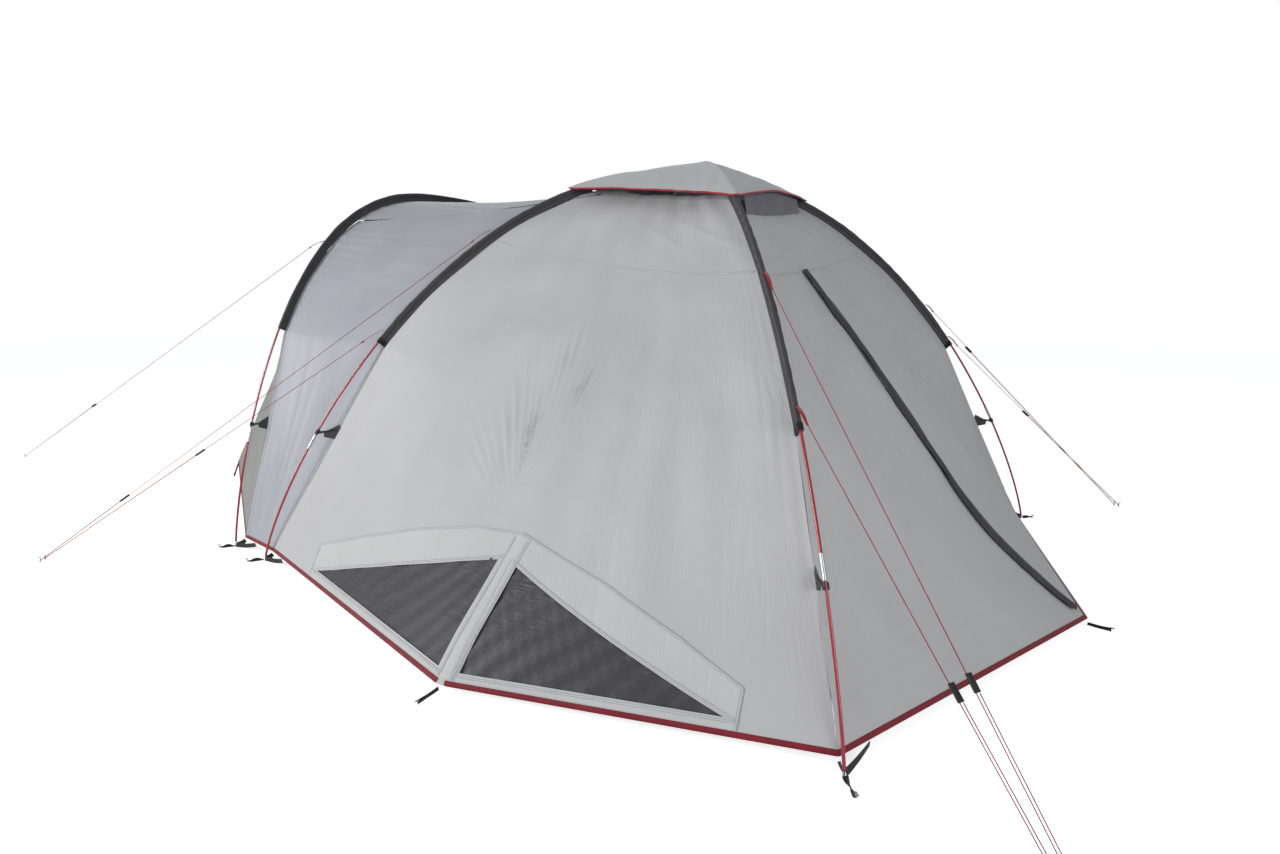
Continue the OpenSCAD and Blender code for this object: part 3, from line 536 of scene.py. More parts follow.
def joinAs(name, parts, *replaced):
    whole = joinPieces(parts[0], parts[1:])
    if replaced:
        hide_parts(*replaced)
    whole.name = name


# guy lines: down from the tie, round the peg, and back up to the runner
guy = {"diameter": 0.0025, "clear": 0.006, "turn": 0.005, "low": 0.009, "runner": 0.044,
       "anchors": [(-5.155, -1.265, 0), (-2.145, -2.02, 0), (-2.145, -2.02, 0), (1.848, -1.549, 0),
                   (1.848, -1.549, 0), (1.773, 2.081, 0), (1.773, 2.081, 0)],
       "share": [0.677, 0.806, 0.509, 0.748, 0.648, 0.18, 0.398],
       "offset": [0, 0.01, -0.02, 0.01, -0.02, 0.01, -0.02],
       "ties": [hoopPoint(-29.4) + np.array([-0.079, -0.022, -0.01]), legPoint(2, 30.3) * 1.011,
                legPoint(2, 47.6) * 1.028, legPoint(0, 39.6) * 1.015, legPoint(0, 52.9) * 1.028,
                legPoint(1, 41.6) * 1.012, legPoint(1, 47.8) * 1.014],
       "roots": [hoopPoint(-28.8) + np.array([-0.006, -0.004, 0.004]), legPoint(2, 27.8) * 1.006,
                 legPoint(2, 45.1) * 1.006, legPoint(0, 37.4) * 1.006, legPoint(0, 51.2) * 1.006,
                 legPoint(1, 40.3) * 1.006, legPoint(1, 46) * 1.006]}


def guyRoute(k):
    tie, anchor = guy["ties"][k], np.array(guy["anchors"][k], float)
    flat = anchor - tie
    side = unit(np.array([-flat[1], flat[0], 0]))
    end = anchor + side * guy["offset"][k] + np.array([0, 0, guy["low"]])
    ahead = unit(end - tie)
    runner = mix(tie, end, guy["share"][k])
    start = tie + ahead * guy["clear"]
    down = [mix(start, end, t) for t in np.linspace(0, 1, 13)[:-1]]
    turn = [end + side * guy["turn"] * (1 - math.cos(a)) + ahead * guy["turn"] * math.sin(a)
            for a in np.radians(np.arange(0, 181, 20))]
    last = runner + side * 2 * guy["turn"] + ahead * (guy["runner"] / 2 + 0.002)
    back = [mix(turn[-1], last, t) for t in np.linspace(0, 1, 7)[1:]]
    return np.array(down + turn + back), ahead, side


for k in range(7):
    route, ahead, side = guyRoute(k)
    line = sweep(f"guyLine{k + 1}", route, steadyNormals(route), roundProfile(guy["diameter"], 8), "guyCord",
                 replaced=[f"guy_line_{k + 1}"])
print("guy lines laid")


# a sheet of cloth over a surface: a flat grid, cut along straight lines, trimmed, then laid on
def arcLengths(points):
    rows = np.linalg.norm(np.diff(points, axis=1), axis=2).sum(1).max()
    columns = np.linalg.norm(np.diff(points, axis=0), axis=2).sum(0).max()
    return float(rows), float(columns)


def inside(polygon, point):
    hit, last = False, polygon[-1]
    for p in polygon:
        if (p[1] > point[1]) != (last[1] > point[1]) and \
                point[0] < (last[0] - p[0]) * (point[1] - p[1]) / (last[1] - p[1]) + p[0]:
            hit = not hit
        last = p
    return hit


def cloth(name, fn, finish, body="tent", out=1, u=(0, 1), v=(0, 1), cells=(40, 40), thick=0.0012, lift=0.0,
          wrinkle=None, keep=None, holes=(), replaced=(), blendWith=None,
          mapUv=None, rows=None):
    work = bmesh.new()
    uu, vv = rows or (np.linspace(u[0], u[1], cells[0] + 1), np.linspace(v[0], v[1], cells[1] + 1))
    verts = [[work.verts.new((a, b, 0)) for a in uu] for b in vv]
    for j in range(len(vv) - 1):
        for i in range(len(uu) - 1):
            work.faces.new((verts[j][i], verts[j][i + 1], verts[j + 1][i + 1], verts[j + 1][i]))
    for polygon in list(holes) + ([keep] if keep else []):
        for p, q in zip(polygon, polygon[1:] + polygon[:1]):
            direction = Vector((q[0] - p[0], q[1] - p[1], 0))
            box = [(min(p[k], q[k]) - 0.03, max(p[k], q[k]) + 0.03) for k in (0, 1)]
            near = [f for f in work.faces if all(box[k][0] <= f.calc_center_median()[k] <= box[k][1]
                                                 for k in (0, 1))]
            edges = {e for f in near for e in f.edges}
            points = {w for f in near for w in f.verts}
            bmesh.ops.bisect_plane(work, geom=near + list(edges) + list(points), dist=1e-6,
                                   plane_co=Vector((p[0], p[1], 0)),
                                   plane_no=direction.cross(Vector((0, 0, 1))))
    drop = []
    for f in work.faces:
        c = f.calc_center_median()
        if any(inside(h, c) for h in holes) or (keep and not inside(keep, c)):
            drop.append(f)
    bmesh.ops.delete(work, geom=drop, context="FACES")
    work.verts.ensure_lookup_table()
    work.verts.index_update()
    flat = np.array([(w.co.x, w.co.y) for w in work.verts])
    at = mapUv(flat) if mapUv else flat
    normal = surfaceNormal(fn, at[:, 0], at[:, 1], out)
    smoothPoints = fn(at[:, 0], at[:, 1]) + lift * normal
    height = wrinkle(at[:, 0], at[:, 1]) if wrinkle else 0 * at[:, 0]
    spots = smoothPoints + height[:, None] * normal
    grid = np.meshgrid(np.linspace(u[0], u[1], 24), np.linspace(v[0], v[1], 24))
    gridFlat = np.stack([grid[0].ravel(), grid[1].ravel()], 1)
    gridAt = mapUv(gridFlat) if mapUv else gridFlat
    size = arcLengths(fn(gridAt[:, 0], gridAt[:, 1]).reshape(24, 24, 3))
    layer = work.loops.layers.uv.new("cloth")
    spanU, spanV = u[1] - u[0], v[1] - v[0]
    for f in work.faces:
        for loop in f.loops:
            a, b = flat[loop.vert.index]
            loop[layer].uv = ((a - u[0]) / spanU * size[0], (b - v[0]) / spanV * size[1])
    for w, p in zip(work.verts, place(spots)):
        w.co = p
    area = sum(f.calc_area() for f in work.faces)
    if out < 0:
        bmesh.ops.reverse_faces(work, faces=work.faces)
    mesh = bpy.data.meshes.new(name)
    work.to_mesh(mesh)
    work.free()
    o = newObject(name, mesh, finish, None if blendWith else body, replaced)
    select(o)
    solidify = o.modifiers.new("thickness", "SOLIDIFY")
    solidify.thickness, solidify.offset = thick, 0
    bpy.ops.object.modifier_apply(modifier=solidify.name)
    bpy.ops.object.shade_smooth_by_angle(angle=math.radians(50))
    o.select_set(False)
    if blendWith:
        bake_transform(o)
    return o


def swell(x, middle, spread):
    return np.exp(-((x - middle) / spread) ** 2)


# broad slackness in taut cloth, a few millimetres deep
def slack(x, y, size=1.0):
    return size * 0.0016 * (np.sin(7.1 * x + 2.3 * y) + np.sin(11.7 * y - 4.9 * x + 1.3)
                            + 0.7 * np.sin(19 * x + 8 * y + 0.6))


# narrow crests with wider hollows between them, as in a pulled cloth
def crests(phase, sharp=2.2):
    return (1 - np.abs(np.sin(phase / 2))) ** sharp - 0.3


def fan(x, y, turn, spread, reach, width, count, depth):
    r, a = np.hypot(x, y), np.degrees(np.arctan2(y, x))
    ridges = crests(np.radians(a) * count + 1.6 * np.sin(5 * r) + 1.1 * np.sin(0.21 * a))
    return depth * swell(a, turn, spread) * swell(r, reach,
            width) * ridges * (0.7 + 0.3 * np.sin(11 * r + 0.3 * a))


sideCloth = {"size": (2.45, 2.05), "windows": [
    [(0.181, 0.016), (0.572, 0.013), (0.589, 0.137)], [(0.617, 0.135), (0.602, 0.013), (0.897, 0.017)]],
    "surround": [(0.167, 0.006), (0.155, 0.049), (0.278, 0.092), (0.404, 0.131), (0.519, 0.16),
                 (0.613, 0.172), (0.75, 0.131), (0.845, 0.089), (0.914, 0.049), (0.906, 0.006)],
    "ridge": [(0.575, 0.006), (0.6, 0.006), (0.627, 0.166), (0.605, 0.172), (0.599, 0.166)],
    "fanAt": (0.6, 0.155)}
# a finer net where the folds run from the top of the windows
sideRows = (np.concatenate([np.linspace(0, 0.3, 52)[:-1], np.linspace(0.3, 0.78, 152),
                            np.linspace(0.78, 1, 36)[1:]]),
            np.concatenate([np.linspace(0, 0.15, 24)[:-1], np.linspace(0.15, 0.52, 100),
                            np.linspace(0.52, 1.12, 66)[1:]]))


def sideWrinkle(u, v):
    w, h = sideCloth["size"]
    x, y = (u - sideCloth["fanAt"][0]) * w, (v - sideCloth["fanAt"][1]) * h
    top = np.clip((v - 0.1) / 0.15, 0, 1)
    made = slack(u * w, v * h, 1.2)
    made = made + top * (fan(x, y, 124, 19, 0.36, 0.2, 76, 0.015) + fan(x, y, 106, 10, 0.6, 0.2, 90, 0.010)
                         + fan(x, y, 148, 11, 0.36, 0.17, 70, 0.012) + fan(x, y, 88, 9, 0.5, 0.2, 84, 0.008)
                         + fan(x, y, 58, 16, 0.6, 0.3, 34, 0.0035))
    made = made + 0.005 * swell(u, 0.965, 0.03) * crests(2 * np.pi * (u / 0.017 + 1.1 * v)) * swell(v, 0.42,
            0.32)
    made = made + 0.004 * swell(u, 0.03, 0.035) * crests(2 * np.pi * (u / 0.018 - 0.8 * v)) * swell(v, 0.25,
            0.3)
    made = made + 0.004 * swell(v, 0.87, 0.07) * crests(2 * np.pi * (4.2 * u + 9.5 * v)) * swell(u, 0.78,
            0.22)
    made = made + 0.0035 * swell(v, 0.66, 0.06) * crests(2 * np.pi * (15 * u + 2.5 * v)) * swell(u, 0.2, 0.12)
    made = made + 0.004 * swell(u, 0.78, 0.14) * np.sin(2 * np.pi * u / 0.085 + 3 * v) * swell(v, 0.33, 0.2)
    return made * np.clip((v - 0.004) / 0.03, 0, 1)


def bandWrinkle(u, v):
    left = 0.0012 * swell(u, 0.42, 0.14) * np.sin(2 * np.pi * (u * 2.45 + v * 1.1) / 0.05) * swell(v, 0.14,
            0.03)
    return sideWrinkle(u, v) + left


def filmWrinkle(u, v):
    w, h = sideCloth["size"]
    x, y = u * w, v * h
    return -0.004 + 0.0016 * np.sin(2 * np.pi * (x * 0.8 - y) / 0.07
                                    + 2 * np.sin(9 * x)) + 0.001 * np.sin(2 * np.pi * (x + 0.6 * y) / 0.041)


def uvLine(corners, count=24):
    made = []
    for p, q in zip(corners, corners[1:]):
        made += [mix(np.array(p), np.array(q), t) for t in np.linspace(0, 1, count, endpoint=False)]
    return np.array(made + [np.array(corners[-1])])


# a flat felled seam: a narrow doubled strip with two rows of stitches
def seam(name, fn, corners, out=1, lift=0.001, width=0.0075, thick=0.0009, finish="seamCloth", wrinkle=None,
         body="tent", count=24, replaced=()):
    at = uvLine(corners, count)
    normal = surfaceNormal(fn, at[:, 0], at[:, 1], out)
    height = wrinkle(at[:, 0], at[:, 1]) if wrinkle else 0
    line = fn(at[:, 0], at[:, 1]) + (np.asarray(lift + height) * np.ones(len(at)))[:, None] * normal
    return sweep(name, line, normal, tapeProfile(width, thick), finish, body, replaced)


def grown(polygon, by):
    m = np.mean(polygon, axis=0)
    return [tuple(m + (np.array(p) - m) * by) for p in polygon]


for s, side in ((-1, "near"), (1, "far")):
    fn, out = sideSurface(s), -s
    cloth(f"{side}Side", fn, "flyPolyester", out=out, v=(0.0, 1.12), rows=sideRows, wrinkle=sideWrinkle,
          holes=sideCloth["windows"], replaced=[f"{side}_side_panel"])
    cloth(f"{side}WindowBand", fn, "bandPolyester", out=out, u=(0.15, 0.925), v=(0, 0.18), cells=(96, 22),
          lift=0.0016, wrinkle=bandWrinkle, keep=sideCloth["surround"],
          holes=[grown(w, 0.99) for w in sideCloth["windows"]], thick=0.001)
    cloth(f"{side}WindowPost", fn, "bandPolyester", out=out, u=(0.565, 0.637), v=(0, 0.18), cells=(10, 30),
          lift=0.003, wrinkle=bandWrinkle, keep=sideCloth["ridge"], thick=0.0012)
    for n, window in enumerate(sideCloth["windows"]):
        film = grown(window, 1.05)
        us, vs = [p[0] for p in film], [p[1] for p in film]
        cloth(f"{side}Window{n + 1}", fn, "windowFilm", out=out, u=(min(us) - 0.002, max(us) + 0.002),
              v=(max(0, min(vs)), max(vs) + 0.002), cells=(56, 20), wrinkle=filmWrinkle, keep=film,
              replaced=[f"{side}_window_mesh"])
        seam(f"{side}WindowSeam{n + 1}", fn, grown(window, 1.07) + [grown(window, 1.07)[0]], out, lift=0.003,
             width=0.007, wrinkle=bandWrinkle)
    seam(f"{side}BandSeam", fn, sideCloth["surround"], out, lift=0.0026, wrinkle=bandWrinkle, count=12)
    seam(f"{side}PostSeamA", fn, [(0.578, 0.006), (0.602, 0.166)], out, lift=0.0042, width=0.007,
         wrinkle=bandWrinkle)
    seam(f"{side}PostSeamB", fn, [(0.597, 0.006), (0.623, 0.164)], out, lift=0.0042, width=0.007,
         wrinkle=bandWrinkle)
    seam(f"{side}RoofSeam", fn, [(0.01, panel["seamV"]), (0.99, panel["seamV"])], out, wrinkle=sideWrinkle,
         count=90)
print("side cloths made")


# the rear: a near half beside the zip, a far half whose lower part is the door, and a strip above the seam
def nearHalf(flat):
    return np.stack([flat[:, 0] * rearMid(flat[:, 1]), flat[:, 1]], 1)


def farHalf(flat):
    m = rearMid(flat[:, 1])
    return np.stack([m + flat[:, 0] * (1 - m), flat[:, 1]], 1)


def rearWrinkle(u, v):
    w, h = 2.85, 1.95
    made = slack(u * w, v * h, 0.9)
    made = made + 0.0016 * swell(v, 0.045, 0.03) * np.sin(2 * np.pi * v / 0.019 + 3 * u)
    made = made + 0.004 * swell(u, 0.03, 0.03) * crests(2 * np.pi * (u / 0.014 + 0.7 * v)) * swell(v, 0.4,
            0.3)
    made = made + 0.005 * swell(u, 0.93, 0.06) * crests(2 * np.pi * (u / 0.022 + 1.3 * v)) * swell(v, 0.4,
            0.25)
    x, y = (u - panel["rearMid"]) * w, v * h
    made = made + fan(x, y, 60, 15, 0.9, 0.45, 60, 0.005) + fan(x, y, 128, 12, 0.8, 0.4, 60, 0.004)
    x, y = (u - panel["zipTop"]) * w, (v - panel["seamV"]) * h
    made = made + fan(x, y, -52, 14, 0.5, 0.28, 50, 0.005) + fan(x, y, -125, 14, 0.45, 0.25, 50, 0.006)
    return made * np.clip((v - 0.004) / 0.03, 0, 1)


doorBlend = ("tent", "rear_door", tuple(place((1.2, 0.6, 1.3))), tuple(place((1.2, 0.6, 0.3))))
cloth("rearNear", rearSurface, "flyPolyester", u=(0, 1), v=(0.0, 0.742), cells=(70, 110), wrinkle=rearWrinkle,
      mapUv=nearHalf, replaced=["rear_near_panel"])
cloth("rearFar", rearSurface, "flyPolyester", u=(0.004, 1), v=(0.0, 0.742), cells=(90, 110),
      wrinkle=rearWrinkle, mapUv=farHalf, replaced=["rear_far_panel", "rear_door_leaf"], blendWith=doorBlend)
cloth("rearTop", rearSurface, "flyPolyester", u=(0, 1), v=(0.738, 1.1), cells=(110, 44), wrinkle=rearWrinkle,
      lift=0.0008)
seam("rearRoofSeam", rearSurface, [(0.006, panel["seamV"]), (0.994, panel["seamV"])], wrinkle=rearWrinkle,
     lift=0.002, count=100)
print("rear cloths made")

# roof cap, bowed up over the crossing, with a hood over the rear vent
capCloth = {"cells": (96, 96), "piping": 0.0075}


def capWrinkle(u, v):
    a, b = 2 * u - 1, 2 * v - 1
    r = np.maximum(np.abs(a), np.abs(b))
    poles = 0.005 * swell(np.abs(a) - np.abs(b), 0, 0.035) * (0.3 + 0.7 * r)
    crown = 0.004 * np.exp(-(r / 0.07) ** 2)
    return (poles + crown + slack(u * 1.2, v * 1.2, 0.7)
            + 0.0014 * swell(r, 0.85, 0.2) * np.sin(34 * a + 9 * b) * swell(a, 0.5, 0.6))


cloth("roofCap", capSurface, "flyPolyester", cells=capCloth["cells"], wrinkle=capWrinkle, thick=0.0014,
      replaced=["roof_cap"])
rim = np.linspace(0.0005, 0.9995, 44)
ring = [(t, 0.0005) for t in rim] + [(0.9995, t) for t in rim] + [(t, 0.9995) for t in rim[::-1]] + \
       [(0.0005, t) for t in rim[::-1]]
ring = np.array(ring)
rimDrop = capWrinkle(ring[:, 0], ring[:, 1]) - 0.0015
rimLine = capSurface(ring[:, 0], ring[:, 1]) + xyz(0 * rimDrop, 0 * rimDrop, rimDrop)
sweep("capPiping", rimLine, steadyNormals(rimLine), roundProfile(capCloth["piping"], 10), "capPiping")


def ventSurface(u, v):
    w = mix(0.12, 0.88, u)
    foot = rearSurface(w, np.full_like(w, 0.985)) + np.array([0, 0, 0.004])
    return mix(foot, capSurface(np.ones_like(w), w) + np.array([-0.022, 0, -0.007]), v[..., None])


cloth("ventMesh", ventSurface, "ventMesh", cells=(50, 10), v=(0.0, 1.0), replaced=["vent_mesh"],
      wrinkle=lambda u, v: 0.002 * np.sin(24 * u) * bow(v))
print("roof cap made")


# porch
def porchWrinkle(u, v):
    x, y = u * 1.0, v * 1.9
    made = slack(x * 1.3, y) + 0.005 * swell(v, 0.16, 0.14) * swell(u, 0.4,
            0.3) * crests(2 * np.pi * (9 * u + 4 * v))
    made = made + 0.0045 * swell(v, 0.4, 0.13) * swell(u, 0.25, 0.2) * crests(2 * np.pi * (8 * u + 1.5 * v))
    made = made + 0.004 * swell(u, 0.15, 0.2) * crests(2 * np.pi * (22 * v + 3 * u)) * swell(v, 0.8, 0.16)
    made = made + 0.004 * swell(u, 0.7, 0.2) * crests(2 * np.pi * (13 * v + 2 * u)) * swell(v, 0.72, 0.16)
    return made * np.clip((v - 0.004) / 0.04, 0, 1)


def roofWrinkle(u, v):
    return slack(u, v * 0.8, 0.8) + 0.0016 * np.sin(2 * np.pi * (u + 0.5 * v) / 0.07) * swell(u, 0.12, 0.12)


for s, side in ((-1, "near"), (1, "far")):
    cloth(f"{side}PorchWall", porchWallSurface(s), "porchPolyester", out=-s, u=(0.004, 0.996), v=(0, 1),
          cells=(56, 100), wrinkle=porchWrinkle, replaced=[f"porch_{side}_wall"])
    # the facets take the porch cloth with painted shade
    cloth(f"{side}PorchFacet", porchFacetSurface(s), "porchFrontPolyester", out=-s, u=(0.0, 0.996),
          v=(0, 0.998), cells=(40, 80), wrinkle=porchWrinkle, replaced=[f"porch_front_{side}"])
    seam(f"{side}PorchSeam", porchWallSurface(s), [(0.035, 0.0), (0.035, 0.99)], -s, wrinkle=porchWrinkle,
         count=80)
    seam(f"{side}DomeSeam", porchWallSurface(s), [(0.965, 0.0), (0.965, 0.99)], -s, wrinkle=porchWrinkle,
         count=80)
cloth("porchRoof", porchRoofSurface, "porchPolyester", out=-1, u=(0.0, 1.0), v=(0.0, 1.1), cells=(70, 60),
      wrinkle=roofWrinkle, replaced=["porch_roof"])
porchBlend = ("tent", "porch_door", tuple(place((-2.1, 0, 1.35))), tuple(place((-2.7, 0, 0.5))))
# the front takes the porch cloth with painted shade
cloth("porchFront", porchFrontSurface, "porchFrontPolyester", out=-1, u=(0.002, 0.998), v=(0.0, 0.985),
      cells=(80, 110), wrinkle=porchWrinkle, replaced=["porch_front_top", "porch_door_leaf"],
      blendWith=porchBlend)
print("porch made")


# sleeves: two layers of dark cloth, the pole in the outer fold and the fly sewn to the inner edge
sleeve = {"fold": 0.0076, "web": 0.0016, "flare": 0.004, "rings": 110}


def sleeveProfile(depth, lumps):
    w = sleeve["fold"] + lumps
    inner = -depth
    half = [(sleeve["flare"], inner), (sleeve["web"] * 2, inner + 0.010), (sleeve["web"], inner + 0.022),
            (sleeve["web"] * 1.1, inner * 0.42), (w * 0.75, -w * 1.1), (w, -w * 0.3), (w * 0.82, w * 0.62)]
    return half + [(0, w)] + [(-a, b) for a, b in half[::-1]]


def poleSleeve(name, line, fly, deg, replaced):
    tangent = unit(np.gradient(line, axis=0))
    inward = fly - line
    inward = inward - (inward * tangent).sum(1, keepdims=True) * tangent
    depth = np.linalg.norm(inward, axis=1)
    t = np.linspace(0, 1, len(line))
    ferrules = sum(np.exp(-((np.abs(deg) - h) / 1.8) ** 4) for h in legs["hidden"])
    lumps = 0.0004 * np.sin(37 * t * 3.1) + 0.0003 * np.sin(91 * t + 1) + 0.0016 * ferrules
    profile = np.array([sleeveProfile(depth[k], lumps[k]) for k in range(len(line))])
    profile[:, 3, 0] += 0.0012 * np.sin(130 * t)
    profile[:, 11, 0] += 0.0012 * np.sin(110 * t + 2)
    return sweep(name, line, -unit(inward), profile, "sleevePolyester", replaced=replaced)


for i, name in enumerate(("nearRear", "farRear", "nearFront", "farFront")):
    deg = np.linspace(legs["cap"][i] - 3.0, legs["sleeveEnd"][i], sleeve["rings"])
    line = legPoint(i, deg, legLift(i))
    inner = legFly(i, deg)
    node = {"nearRear": "near_rear_sleeve", "farRear": "far_rear_sleeve", "nearFront": "near_front_sleeve",
            "farFront": "far_front_sleeve"}[name]
    poleSleeve(name + "Sleeve", line, inner, deg, [node])
    # the open end is bound with a black band
    endLine = legPoint(i, np.linspace(legs["sleeveEnd"][i] - 0.4, legs["sleeveEnd"][i] + 0.25, 5), legLift(i))
    endInner = legFly(i, np.linspace(legs["sleeveEnd"][i] - 0.4, legs["sleeveEnd"][i] + 0.25, 5))
    depth = np.linalg.norm(endInner - endLine, axis=1)
    profile = np.array([np.array(sleeveProfile(d, 0.0016)) * np.array([1.15, 1.0]) for d in depth])
    sweep(name + "SleeveEnd", endLine, unit(endLine - endInner), profile, "blackWebbing")
hoopDeg = np.linspace(-hoop["sleeveEnd"], hoop["sleeveEnd"], 190)
poleSleeve("porchSleeve", hoopPoint(hoopDeg), hoopFly(hoopDeg), hoopDeg, ["porch_sleeve"])
print("sleeves made")


# poles, with their ferrules, as lacquered rods
def pole(name, line, node):
    sweep(name, line, steadyNormals(line), roundProfile(0.0095, 16), "lacqueredGlassFibre",
          replaced=[node])


arc = np.linspace(0, tent["rodEnd"], 90)
for name, (i, j), lift in (("domePoleA", (0, 3), tent["poleGap"]), ("domePoleB", (1, 2), -tent["poleGap"])):
    pole(name, np.concatenate([legPoint(i, arc[::-1], lift), legPoint(j, arc[1:], lift)]),
         "dome_pole_" + name[-1].lower())
pole("porchPole", hoopPoint(np.linspace(-tent["rodEnd"], tent["rodEnd"], 180)), "porch_pole")
for name, finish in (("pole_ferrules", "brushedSteel"), ("pole_foot_pins", "brushedSteel"),
                     ("hook_pegs", "brushedSteel"), ("guy_pegs", "brushedSteel"),
                     ("rear_zip_slider", "brushedSteel"), ("rear_zip_puller", "blackNylon"),
                     ("pole_clips", "blackNylon"), ("inner_toggles", "blackNylon"),
                     ("foot_straps", "blackWebbing"), ("peg_straps", "blackWebbing"),
                     ("guy_tabs", "capPiping"), ("hem_tape", "hemTape"),
                     ("groundsheet", "floorPolyester")) + tuple(
                         (f"runner_{k + 1}", "blackNylon") for k in range(7)):
    o = nodes[name]
    o.data.materials.clear()
    o.data.materials.append(finishes[finish])
print("poles and fittings finished")


# zip in the rear: teeth, and a dark flap over them that waves a little
zipParts = {"flapWidth": 0.046, "flapLift": 0.018, "top": 0.737, "teethWide": 0.0055}


def zipLine(v, lift):
    m = rearMid(v)
    normal = unit(surfaceNormal(rearSurface, m - 0.04, v) + surfaceNormal(rearSurface, m + 0.04, v))
    return rearSurface(m, v) + lift * normal, normal


v = np.linspace(0.012, zipParts["top"], 150)
line, normal = zipLine(v, 0.003)
sweep("zipTeeth", line, normal, tapeProfile(zipParts["teethWide"], 0.0026), "zipTeeth",
      replaced=["rear_zip_coil"])
line, normal = zipLine(v, zipParts["flapLift"])
wave = 0.0025 * np.sin(31 * v) + 0.0015 * np.sin(83 * v + 1)
across = unit(np.cross(unit(np.gradient(line, axis=0)), normal))
line = line + wave[:, None] * across
wide = zipParts["flapWidth"] * (1 + 0.1 * np.sin(44 * v + 0.5) - 0.12 * swell(v, 0.3, 0.05))
curl = 0.003 * np.sin(27 * v + 2)
profile = np.array([[(-w / 2, c - 0.009), (-w / 2, c - 0.0075), (-w * 0.25, 0.001), (0, 0.003),
                     (w * 0.25, 0.001 - c), (w / 2, -0.0075 - c), (w / 2, -0.009 - c),
                     (w * 0.25, -0.0005 - c), (0, 0.0015), (-w * 0.25, -0.0005)]
                    for w, c in zip(wide, curl)])
sweep("zipFlap", line, normal, profile, "flapCloth", replaced=["rear_zip_flap"])

# red binding folded over every hem, with the parts on the two doors moving with them
binding = {"width": 0.016, "thick": 0.005}


def hemBinding(name, fn, u0, u1, out=1, body="tent", v0=0.002, blendWith=None, uMap=None):
    u = np.linspace(u0, u1, 60)
    flat = np.stack([u, np.full_like(u, v0)], 1)
    at = uMap(flat) if uMap else flat
    normal = surfaceNormal(fn, at[:, 0], at[:, 1], out)
    line = fn(at[:, 0], at[:, 1])
    w, t = binding["width"] / 2, binding["thick"] / 2
    shape = np.array([(-w, -t * 0.6), (-w, t * 0.6), (-w * 0.5, t), (w * 0.7, t), (w, t * 0.5), (w, -t * 0.5),
                      (w * 0.7, -t), (-w * 0.5, -t)])
    o = sweep(name, line, normal, shape, "hemTape", None if blendWith else body)
    if blendWith:
        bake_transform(o)
    return o


for s, side in ((-1, "near"), (1, "far")):
    hemBinding(f"{side}SideBinding", sideSurface(s), 0.0, 1.0, -s)
    hemBinding(f"{side}PorchBinding", porchWallSurface(s), 0.0, 1.0, -s)
    hemBinding(f"{side}FacetBinding", porchFacetSurface(s), 0.0, 1.0, -s)
first = hemBinding("rearNearBinding", rearSurface, 0.0, 1.0, uMap=nearHalf)
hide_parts("hem_tape")
hemBinding("rearDoorBinding", rearSurface, 0.0, 1.0, uMap=farHalf, body="rear_door")
hemBinding("porchDoorBinding", porchFrontSurface, 0.0, 1.0, -1, body="porch_door")
print("zip and bindings made")

# the porch door's own zips, one up each edge of the front
for s, side in ((0.015, "near"), (0.985, "far")):
    v = np.linspace(0.01, 0.9, 90)
    line = porchFrontSurface(np.full_like(v, s), v)
    normal = surfaceNormal(porchFrontSurface, np.full_like(v, s), v, -1)
    o = sweep(f"{side}PorchZip", line + 0.004 * normal, normal, tapeProfile(0.034, 0.002), "flapCloth", None)
    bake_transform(o)

# webbing: two straps hold each pole foot to the hem, and a loop runs out to the peg
webbing = {"width": 0.02, "thick": 0.0016, "reach": 0.075}
footPlaces = [(legSide[i][0] * tent["footX"], legSide[i][1] * tent["footY"], 0.012) for i in range(4)] + \
             [(-hoop["x"], s * hoop["y"], 0.012) for s in (-1, 1)]


def hemNext(i):
    if i < 2:
        return hem[i], rearPeg
    if i < 4:
        return hem[i], sidePeg * np.array([1, legSide[i][1], 1])
    return porchFoot((-1, 1)[i - 4]), hem[i - 2]


def ribbonBetween(name, p, q, sag, turn, width, parts):
    t = np.linspace(0, 1, 22)
    line = mix(np.array(p, float), np.array(q, float), t[:, None]) + xyz(0 * t, 0 * t, -sag * bow(t))
    line[:, 2] = np.maximum(line[:, 2], 0.0012)
    ahead = unit(np.gradient(line, axis=0))
    side = unit(np.cross(ahead, np.array([0, 0, 1.0])))
    upward = np.cross(side, ahead)
    a = np.radians(mix(turn[0], turn[1], t))[:, None]
    normal = np.cos(a) * upward + np.sin(a) * side
    half = width / 2 * np.abs(np.sin(a[:, 0]))
    line[:, 2] = np.maximum(line[:, 2], half + 0.001)
    parts.append(sweep(name, line, normal, tapeProfile(width, webbing["thick"]), "blackWebbing"))


parts = []
for i, foot in enumerate(footPlaces):
    foot = np.array(foot)
    corner, after = hemNext(i)
    for n, target in enumerate((corner, corner + unit(after - corner) * (0.13 if i < 4 else 0.11))):
        d = unit(target - foot)
        ribbonBetween(f"footStrap{i}{n}", foot + d * 0.006, target - d * 0.004 + np.array([0, 0, -0.012]),
                      0.004, (70, 80 + 20 * n), webbing["width"], parts)
joinAs("footStraps", parts, "foot_straps")


def pegWay(p, ahead):
    return np.array([p[0], p[1], 0.0]) + np.array(ahead, float) * webbing["reach"]


